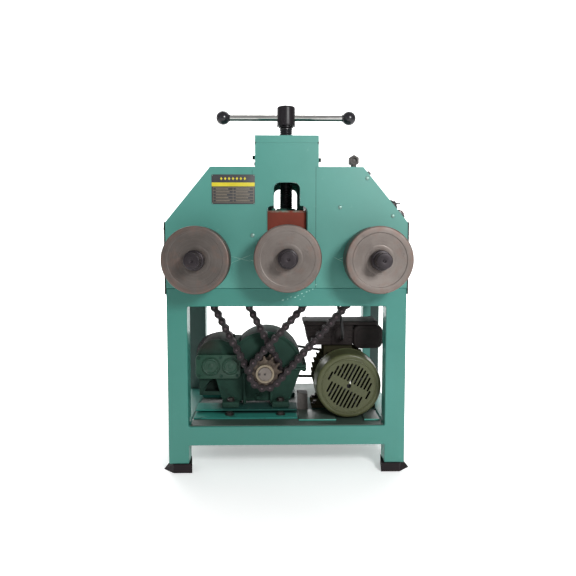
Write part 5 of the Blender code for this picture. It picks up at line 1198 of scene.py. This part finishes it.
# Rollers, shafts and nuts.
# Three discs turned from bar and faced, with the tool's fine rings in their grey-brown skin, rust
# at the edges and a shallow step. Their black shafts are keyed, with a round nut and a centre hole.
def turned_face(name, x, z, tones):
    """Faced steel: rings of equal width about the axis, and rust that gathers towards the rim."""
    material = finish(name, tones, 16.0, (0.36, 0.52), 500.0, 0.12, metallic=0.55)
    tree = material.node_tree
    shader = tree.nodes["Principled BSDF"]
    place = node(tree, "TexCoord").outputs["Object"]
    centred = node(tree, "Mapping", (), place, Location=(-x, 0.0, -z), Scale=(1.0, 0.0, 1.0))
    centred = centred.outputs["Vector"]
    radius = node(tree, "VectorMath", {"operation": "LENGTH"}, centred).outputs["Value"]
    drift = node(tree, "TexNoise", (), place, Scale=14.0, Detail=4.0).outputs["Fac"]
    wobble = node(tree, "Math", {"operation": "MULTIPLY_ADD"}, drift, 0.004, radius).outputs["Value"]
    rings = times(material, radius, 5200.0)
    rings = node(tree, "Math", {"operation": "SINE"}, rings).outputs["Value"]
    along_radius = times(material, radius, 900.0)
    one_way = {"noise_dimensions": "1D"}
    lines = node(tree, "TexNoise", one_way, W=along_radius, Scale=1.0, Detail=4.0).outputs["Fac"]
    height = node(tree, "Math", {"operation": "MULTIPLY_ADD"}, rings, 0.25, lines).outputs["Value"]
    below = shader.inputs["Normal"].links[0].from_socket
    relief = node(tree, "Bump", (), Strength=0.22, Distance=0.0004, Height=height, Normal=below)
    tree.links.new(relief.outputs["Normal"], shader.inputs["Normal"])
    streaks = node(tree, "MapRange", (), lines, 0.52, 0.72, 0.0, 0.35).outputs["Result"]
    over(material, streaks, (0.235, 0.205, 0.185), 0.4)
    edge = node(tree, "MapRange", (), wobble, 0.08, 0.0965, 0.0, 0.55).outputs["Result"]
    rust = times(material, edge, blotches(material, 30.0, 0.38, 0.62))
    over(material, rust, (0.17, 0.088, 0.064), 0.6)
    patches(material, 24.0, 0.52, 0.7, 0.5, (0.175, 0.105, 0.082), 0.6)
    patches(material, 46.0, 0.62, 0.72, 0.5, (0.085, 0.07, 0.066), 0.6)
    patches(material, 300.0, 0.7, 0.76, 0.5, (0.06, 0.045, 0.04), 0.6)
    # Painted shade: the rim and back darken behind the front face.
    depth = along(material, "Y", FRONT - 0.1135, FRONT - 0.108, 0.6)
    over(material, depth, (0.055, 0.036, 0.03), 0.5)
    return material


def roller_face(x, z, step):
    """Half section of a roller from its bore round the back, the rim and the stepped front."""
    front = FRONT - 0.116
    back = FRONT - 0.036
    outer = [
        (0.0256, back), (0.088, back), (0.0915, back - 0.001), (0.094, back - 0.004),
        (0.094, front + 0.004), (0.0925, front + 0.0012), (0.09, front), (0.076, front),
        (0.0756, front + step * 0.5), (0.0748, front + step), (0.042, front + step),
        (0.0416, front + step + 0.0003), (0.0408, front + step), (0.0256, front + step),
    ]
    return spun(eased(outer, 0.0007, 2), (x, 0.0, z), "Y", 160, ring=True)


SHAFT_TONES = shades((0.02, 0.016, 0.018), (0.036, 0.029, 0.033))
shaft_black = finish(
    "shaft_black", SHAFT_TONES, 26.0, (0.3, 0.45), 600.0, 0.2, metallic=0.55,
    wear=[
        (120.0, 0.62, 0.72, 0.4, (0.085, 0.072, 0.072), 0.5),
        (40.0, 0.62, 0.76, 0.4, (0.07, 0.04, 0.03), 0.6),
    ],
)
ROLLER_TONES = shades((0.125, 0.104, 0.093), (0.165, 0.142, 0.128), (0.2, 0.175, 0.158))
middle_z = (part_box("middle_roller")[0].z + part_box("middle_roller")[1].z) / 2
# Painted shade and light: the level dims the left roller's tones and lifts the right one's.
for name, x, z, tail, step, level in (
    ("left", -ROLLER_X, OUTER_Z, 0.294, 0.0004, 0.66),
    ("middle", 0.0, middle_z, 0.212, 0.0004, 0.95),
    ("right", ROLLER_X, OUTER_Z, 0.294, 0.0013, 1.04),
):
    body = name + "_roller_unit"
    tones = dimmed(ROLLER_TONES, level, level, level)
    steel = turned_face("faced_steel_" + name, x, z, tones)
    fitted(
        "roller_" + name, [roller_face(x, z, step)], steel, "roller_steel", name + "_roller", body=body,
        sharp=40.0,
    )
    profile = [
        (0.0, tail), (0.0235, tail), (0.025, tail - 0.0015), (0.025, -0.0203), (0.031, -0.0203),
        (0.031, -0.0357), (0.025, -0.0357), (0.025, -0.1148), (0.0278, -0.1148), (0.028, -0.1155),
        (0.028, -0.1405), (0.0268, -0.144), (0.025, -0.1448), (0.022, -0.1448), (0.022, -0.1835),
        (0.02, -0.1858), (0.005, -0.1858), (0.0026, -0.1835), (0.0, -0.1815),
    ]
    profile = eased(np.asarray(profile) + (0.0, FRONT), 0.0006, 2, closed=False)
    fitted(
        "shaft_" + name, [spun(profile, (x, 0.0, z), "Y", 80)], shaft_black, "shaft_steel",
        name + "_shaft", body=body, sharp=40.0,
    )
shapes = []
for x in (-ROLLER_X, ROLLER_X):
    shapes.append(brick(
        (x - 0.004, FRONT + 0.2785, OUTER_Z + 0.0215), (x + 0.004, FRONT + 0.2925, OUTER_Z + 0.0252),
        0.0005,
    ))
fitted("shaft_key_left", shapes[:1], bolt_steel, "black_steel", body="left_roller_unit")
fitted("shaft_key_right", shapes[1:], bolt_steel, "black_steel", body="right_roller_unit")


# Upper sprockets and roller chains.
# The same hobbed wheels on the outer shafts, and two loops of one inch chain: waisted inner and
# outer plates, rollers, and pins riveted over, all black with oil and bright only on the pin ends.
for name, x, y, phase in (
    ("left", -ROLLER_X, rear_wheel_y, left_phase),
    ("right", ROLLER_X, front_wheel_y, right_phase),
):
    shapes = [toothed_wheel(x, OUTER_Z, y, phase)]
    hub_ring = mm((25.4, -8.2), (34.5, -8.2), (35, 0), (34.5, 33), (33.5, 34), (26.2, 34), (25.4, 33.2))
    shapes.append(spun(hub_ring + (0.0, y), (x, 0.0, OUTER_Z), "Y", 64, ring=True))
    shapes += hexagon_head((x, y + 0.022, OUTER_Z + 0.034), "Z", 0.008, 0.004)
    fitted(
        "chain_wheel_" + name, shapes, wheel_steel, "sprocket_steel", name + "_sprocket",
        body=name + "_roller_unit", sharp=40.0,
    )

chain_oil = finish(
    "chain_oil", shades((0.008, 0.005, 0.006), (0.024, 0.017, 0.019)), 60.0, (0.28, 0.48), 800.0, 0.25,
    metallic=0.5, coat=0.1, wear=[(140.0, 0.6, 0.72, 0.5, (0.06, 0.042, 0.042), 0.5)],
)
pin_bright = finish(
    "pin_steel", shades((0.045, 0.03, 0.035), (0.13, 0.095, 0.105)), 160.0, (0.24, 0.42), 900.0, 0.1,
    metallic=0.6,
)


def waisted_plate():
    """A link plate about its middle: a round head at each pin and a waist between them."""
    half = PITCH / 2
    right_end = arc((half, 0.0), 0.0114, -124.0, 124.0, 12)
    left_end = arc((-half, 0.0), 0.0114, 56.0, 304.0, 12)
    waist = 0.0062
    return np.concatenate([right_end, [(0.0, waist)], left_end, [(0.0, -waist)]])


def copies(shape, turns, places):
    """The shape turned about the depth axis and moved, once for each turn and place."""
    points, faces = shape
    cosine = np.cos(turns)[:, None]
    sine = np.sin(turns)[:, None]
    x = points[None, :, 0] * cosine - points[None, :, 2] * sine + places[:, :1]
    z = points[None, :, 0] * sine + points[None, :, 2] * cosine + places[:, 1:]
    y = np.broadcast_to(points[None, :, 1], x.shape)
    count = len(points)
    loops = [[i + copy * count for i in loop] for copy in range(len(turns)) for loop in faces]
    return np.stack([x, y, z], -1).reshape(-1, 3), loops


def chain_pins(x, links):
    """Pin centres one pitch apart: up one straight run, half round the upper wheel, down the
    other run and half round the lower wheel."""
    turn = math.atan2(OUTER_Z - OUTPUT_Z, x - OUTPUT_X)
    run = np.array([math.cos(turn), math.sin(turn)])
    out = np.array([-math.sin(turn), math.cos(turn)])
    low = np.array([OUTPUT_X, OUTPUT_Z])
    high = np.array([x, OUTER_Z])
    up = low + out * pitch_radius + run * PITCH * np.arange(links)[:, None]
    wrap = turn + math.pi / 2 - np.arange(TEETH // 2) * 2 * math.pi / TEETH
    wrapped = pitch_radius * np.stack([np.cos(wrap), np.sin(wrap)], -1)
    down = high - out * pitch_radius - run * PITCH * np.arange(links)[:, None]
    return np.concatenate([up, high + wrapped, down, low - wrapped])


plate_loop = waisted_plate()
for name, x, y, links in (
    ("left", -ROLLER_X, rear_wheel_y, LEFT_LINKS),
    ("right", ROLLER_X, front_wheel_y, RIGHT_LINKS),
):
    pins = chain_pins(x, links)
    after = np.roll(pins, -1, 0)
    middles = (pins + after) / 2
    turns = np.arctan2(after[:, 1] - pins[:, 1], after[:, 0] - pins[:, 0])
    shapes = []
    for first, near in ((0, 0.008), (1, 0.0113)):
        for low in (near, -near - LINK_PLATE):
            plate = slab(plate_loop, y + low, y + low + LINK_PLATE, 0.0005)
            shapes.append(copies(plate, turns[first::2], middles[first::2]))
    still = np.zeros(len(pins))
    roller = spun(
        mm((0, -7.7), (7.6, -7.7), (7.94, -7.2), (7.94, 7.2), (7.6, 7.7), (0, 7.7)), (0.0, y, 0.0), "Y",
        18,
    )
    shapes.append(copies(roller, still, pins))
    fitted("roller_chain_" + name, shapes, chain_oil, "chain_steel", name + "_chain", sharp=35.0)
    pin = spun(mm((0, -16), (3, -16), (4, -15), (4, 15), (3, 16), (0, 16)), (0.0, y, 0.0), "Y", 14)
    fitted("chain_pins_" + name, [copies(pin, still, pins)], pin_bright, "chain_steel", sharp=35.0)


# Switch and button.
# A black reversing switch with a thin curved lever, and a small brown-red push button in a black
# block, both on the right slope of the head, with two hexagon screws above them.
SLOPE_TOP = (0.222, 0.909)
SWITCH_SHARE = 0.69
BUTTON_SHARE = 0.86
SLOPE_RUN = 0.132
SLOPE_FALL = 0.16
SLOPE = math.atan2(SLOPE_FALL, SLOPE_RUN)
slope_y = FRONT + 0.04
control_black = finish(
    "control_black", shades((0.01, 0.009, 0.01), (0.02, 0.018, 0.018)), 20.0, (0.25, 0.4), 500.0, 0.1,
    coat=0.2, wear=[(150.0, 0.66, 0.74, 0.4, (0.07, 0.06, 0.055), 0.6)],
)
coated(control_black, "switch_box")


def on_slope(shape, down, height):
    """Lays a shape on the slope: its first axis runs down the slope and its third is the normal."""
    points, faces = shape
    run = points[:, 0]
    rise = points[:, 2] + height
    x = SLOPE_TOP[0] + down * SLOPE_RUN + run * math.cos(SLOPE) + rise * math.sin(SLOPE)
    z = SLOPE_TOP[1] - down * SLOPE_FALL - run * math.sin(SLOPE) + rise * math.cos(SLOPE)
    return np.stack([x, points[:, 1] + slope_y, z], -1), faces


switch_profile = mm((0, 0), (17, 0), (17, 7.2), (15.5, 9.6), (14, 10.8), (0, 11))
shapes = [on_slope(
    spun(eased(switch_profile, 0.0012, 3, closed=False), (0.0, 0.0, 0.0), "Z", 48), SWITCH_SHARE,
    0.0003,
)]
for turn in range(0, 360, 30):
    grip = spun(arc((0.0, 0.004), 0.0016, 0.0, 360.0, 8)[:-1], (0.0, 0.0, 0.0), "Z", 4, ring=True)
    place = (*arc((0.0, 0.0), 0.0168, turn, turn, 0)[0], 0.0)
    shapes.append(on_slope((grip[0] + place, grip[1]), SWITCH_SHARE, 0.0003))
fitted("switch_body", shapes, control_black, "black_plastic", "switch_base")
lever_share = np.linspace(0.0, 1.0, 26)
lever_line = turned_to("Z", 0.001 + 0.0096 * lever_share, 0.0, 0.0022 + 0.0112 * lever_share**1.25)
swell = 0.0026 - 0.001 * lever_share + 0.0006 * lever_share**6
shapes = [
    on_slope(tube(lever_line, swell, 20), SWITCH_SHARE, 0.0116),
    on_slope(disc(0.0078, 0.0, 0.004, (0.0, 0.0, 0.0), "Z", 32, 0.001), SWITCH_SHARE, 0.0116),
]
fitted(
    "switch_lever_curved", shapes, control_black, "black_plastic", "switch_lever", body="lever_unit",
    sharp=50.0,
)
block = slab(panel(-0.014, 0.014, -0.014, 0.014, 0.004, 5), 0.0, 0.0098, 0.0015, "Z")
bezel = spun(
    mm((8.8, 9.3), (11.8, 9.3), (11.8, 10.6), (10.8, 11.5), (8.8, 11.5)), (0.0, 0.0, 0.0), "Z", 40,
    ring=True,
)
fitted(
    "button_mount", [on_slope(block, BUTTON_SHARE, 0.0003), on_slope(bezel, BUTTON_SHARE, 0.0003)],
    control_black, "black_plastic", "button_block",
)
button_red = finish(
    "button_red", shades((0.13, 0.03, 0.022), (0.2, 0.048, 0.036)), 60.0, (0.3, 0.42), 500.0, 0.05,
    coat=0.3, wear=[(260.0, 0.6, 0.72, 0.5, (0.07, 0.022, 0.018), 0.6)],
)
cap = mm((0, 4.9), (5.5, 4.7), (7.4, 3.9), (8.4, 2.4), (8.4, -5.8), (0, -5.8))
fitted(
    "button_cap", [on_slope(spun(cap, (0.0, 0.0, 0.0), "Z", 40), BUTTON_SHARE, 0.0103)], button_red,
    "button_red", "push_button", body="button_unit",
)
shapes = []
for y in (-0.016, 0.19):
    shapes += [
        on_slope(part, 0.12, 0.0002)
        for part in hexagon_head((0.0, y, 0.0), "Z", 0.011, 0.0072, 0.0014)
    ]
fitted("slope_screws", shapes, control_black, "black_steel")


# Nut on the right shoulder.
# A black steel hexagon nut welded on edge to a short neck, which is welded to the shoulder, to hold
# a guide when one is fitted.
NUT_X = 0.2078
NUT_Z = 0.9405
hexagon = arc((NUT_X, NUT_Z), 0.03 / math.sqrt(3), 90.0, 450.0, 6)[:-1]
hole = arc((NUT_X, NUT_Z), 0.0078, 0.0, 360.0, 32)[:-1]
nut_front = FRONT + 0.102
shapes = [pierced([hexagon, hole], nut_front + 0.0008, nut_front + 0.0232)]
for near, far in ((nut_front, nut_front + 0.003), (nut_front + 0.021, nut_front + 0.024)):
    lip = [(0.0079, near), (0.0142, near), (0.0142, far), (0.0079, far)]
    shapes.append(spun(eased(lip, 0.0007, 2), (NUT_X, 0.0, NUT_Z), "Y", 48, ring=True))
shapes.append(disc(0.0085, 0.9093, 0.93, (NUT_X, nut_front + 0.012, 0.0), "Z", 32, 0.0008))
shapes.append(disc(0.0079, 0.006, 0.015, (NUT_X, nut_front, NUT_Z), "Y", 32, 0.0003))
weld_line = arc((NUT_X, nut_front + 0.012), 0.009, 0.0, 360.0, 60)
weld_line = turned_to("Z", weld_line[:, 0], weld_line[:, 1], 0.9102)
shapes.append(tube(weld_line, 0.0016 * (1 + 0.2 * np.sin(np.arange(61) * 1.7)), 8))
nut_steel = finish(
    "nut_steel", shades((0.022, 0.019, 0.018), (0.05, 0.044, 0.04)), 60.0, (0.35, 0.5), 500.0, 0.25,
    metallic=0.4,
)
fitted("guide_nut", shapes, nut_steel, "black_steel", "shoulder_nut")


# Motor cable.
# A round rubber lead of ten millimetres: out of the terminal box's gland in a bend of four
# diameters, up through the open base of the head, and over to the back of the switch.
CABLE_ROUTE = mm(
    (181, 171.5, 378), (181, 164, 378), (180.9, 153.6, 379.4), (180.6, 144, 383.4),
    (180.1, 135.7, 389.7), (179.4, 129.4, 398), (178.5, 125.4, 407.6), (177.5, 124, 418),
    (176.3, 125.5, 429.7), (175, 130, 440.5), (173.3, 135, 451), (171, 138.8, 462.5), (168, 141.5, 478),
    (164, 144.2, 500), (157, 148.4, 535), (149, 157.5, 590), (150, 161, 620), (153.7, 158.6, 642.9),
    (158.9, 151.1, 661.7), (165.6, 139.7, 677), (173.8, 125.5, 689.7), (183.6, 109.5, 700.6),
    (194.9, 92.9, 710.3), (208, 76.8, 719.7), (222.7, 62.4, 729.5), (239.2, 50.7, 740.6),
    (257.5, 42.9, 753.6), (277.6, 40, 769.3),
)


def through(points, steps):
    """A smooth line through points: on each span a cubic whose ends head along the chord of the
    two neighbours."""
    points = np.asarray(points, float)
    padded = np.concatenate([2 * points[:1] - points[1:2], points, 2 * points[-1:] - points[-2:-1]])
    a, b, c, d = padded[:-3, None], padded[1:-2, None], padded[2:-1, None], padded[3:, None]
    t = np.linspace(0.0, 1.0, steps, endpoint=False)[None, :, None]
    square = (2 * a - 5 * b + 4 * c - d) * t**2
    cube = (3 * b - a - 3 * c + d) * t**3
    spans = 0.5 * (2 * b + (c - a) * t + square + cube)
    return np.concatenate([spans.reshape(-1, 3), points[-1:]])


cable_line = through(CABLE_ROUTE + (0.0, FRONT, 0.0), 6)
lead_rubber = finish(
    "lead_rubber", shades((0.01, 0.01, 0.011), (0.02, 0.019, 0.019)), 20.0, (0.45, 0.6), 600.0, 0.2,
    wear=[(80.0, 0.6, 0.74, 0.4, (0.06, 0.055, 0.05), 0.7)],
)
cable = fitted(
    "motor_lead", [tube(cable_line, 0.005, 20)], lead_rubber, "cable_rubber", "motor_cable", sharp=50.0,
)


# Name plate.
# A thin printed aluminium plate riveted to the left of the head. It carries a plain yellow band,
# a row of plain marks and an empty table.
plate_ink = finish(
    "plate_ink", shades((0.03, 0.03, 0.033), (0.045, 0.044, 0.048)), 16.0, (0.35, 0.5), 500.0, 0.05,
    wear=[(90.0, 0.64, 0.76, 0.4, (0.12, 0.12, 0.11), 0.6)],
)
plate_yellow = finish(
    "plate_yellow", shades((0.56, 0.47, 0.018), (0.68, 0.58, 0.03)), 20.0, (0.35, 0.5), 500.0, 0.04,
    wear=[(140.0, 0.62, 0.74, 0.4, (0.33, 0.27, 0.03), 0.6)],
)
plate_tan = finish(
    "plate_tan", shades((0.17, 0.14, 0.095), (0.24, 0.2, 0.14)), 30.0, (0.4, 0.5), 500.0, 0.04,
    wear=[(140.0, 0.6, 0.74, 0.5, (0.09, 0.08, 0.06), 0.6)],
)
skin_y = FRONT - 0.0002
fitted(
    "name_plate",
    [slab(panel(-0.218, -0.093, 0.801, 0.886, 0.0015, 4), skin_y - 0.001, skin_y, 0.0003)], plate_ink,
    "black_steel",
)


def printed(outline):
    """A printed area, which stands a hair proud of the plate."""
    return slab(outline, skin_y - 0.00115, skin_y - 0.0009, 0.00003)


def strip(left, right, low, high):
    """A printed rectangle."""
    return printed([(left, low), (right, low), (right, high), (left, high)])


shapes = [strip(-0.2176, -0.0934, 0.852, 0.863)]
for place in np.linspace(-0.19, -0.122, 7):
    mark = mm((-3.6, 0), (0, -4.5), (3.6, 0), (0, 4.5)) + (place, 0.8742)
    shapes.append(printed(mark))
fitted("plate_band", shapes, plate_yellow, "black_steel")
shapes = []
for z in (0.8065, 0.815, 0.8235, 0.832, 0.8405, 0.8485):
    shapes.append(strip(-0.214, -0.097, z - 0.0005, z + 0.0005))
for x in (-0.214, -0.156, -0.097):
    shapes.append(strip(x - 0.0005, x + 0.0005, 0.806, 0.849))
for row, z in enumerate((0.8107, 0.8192, 0.8277, 0.8362, 0.8445)):
    for left, right in ((-0.206, -0.166 - 0.004 * (row % 3)), (-0.148, -0.108 - 0.005 * (row % 2))):
        shapes.append(strip(left, right, z - 0.0011, z + 0.0011))
fitted("plate_table", shapes, plate_tan, "black_steel")
shapes = [
    disc(0.0016, -0.0019, 0.0, (x, skin_y, z), "Y", 20, 0.0004)
    for x in (-0.2155, -0.0955)
    for z in (0.8035, 0.8835)
]
fitted("plate_rivets", shapes, zinc, "black_steel")


# Marks on the paint.
# Pale scratches cross the front plate between the rollers, where stock has been slid in and out,
# and flecks of bare metal follow the lower edge of the slot.
scratch_paint = finish(
    "scratched_paint", shades((0.24, 0.48, 0.41), (0.36, 0.62, 0.54)), 60.0, (0.45, 0.6), 500.0, 0.1,
)


def paint_mark(outline):
    """A bare mark in the paint of the front plate."""
    return slab(outline, FRONT - 0.00012, FRONT + 0.0001, 0.00002)


shapes = []
for start, end in (
    ((-0.176, 0.625), (-0.093, 0.659)), ((-0.172, 0.652), (-0.1, 0.633)),
    ((-0.112, 0.64), (-0.09, 0.634)), ((0.134, 0.648), (0.176, 0.629)),
    ((0.146, 0.639), (0.176, 0.649)),
):
    start = np.asarray(start)
    end = np.asarray(end)
    across = (end - start)[::-1] * (-1.0, 1.0) / np.linalg.norm(end - start) * 0.0007
    sliver = [start, (start + end) / 2 - across, end, (start + end) / 2 + across]
    shapes.append(paint_mark(sliver))
spatter = mm(
    (-12, 521, 4), (2, 524, 3), (12, 530, 2.6), (24, 529, 3.6), (33, 534, 2.4), (44, 540, 3.2),
    (50, 532, 2.2), (58, 545, 3.4), (66, 548, 2.4), (76, 553, 2.8), (39, 523, 2), (85, 566, 3),
)
for x, z, size in spatter:
    fleck = np.array([(-1.0, -0.2), (0.0, -0.5), (1.0, 0.1), (0.2, 0.5)]) * size + (x, z)
    shapes.append(paint_mark(fleck))
fitted("plate_scratches", shapes, scratch_paint, "green_paint")


# The bounds of the model as it is shown.
low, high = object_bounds()
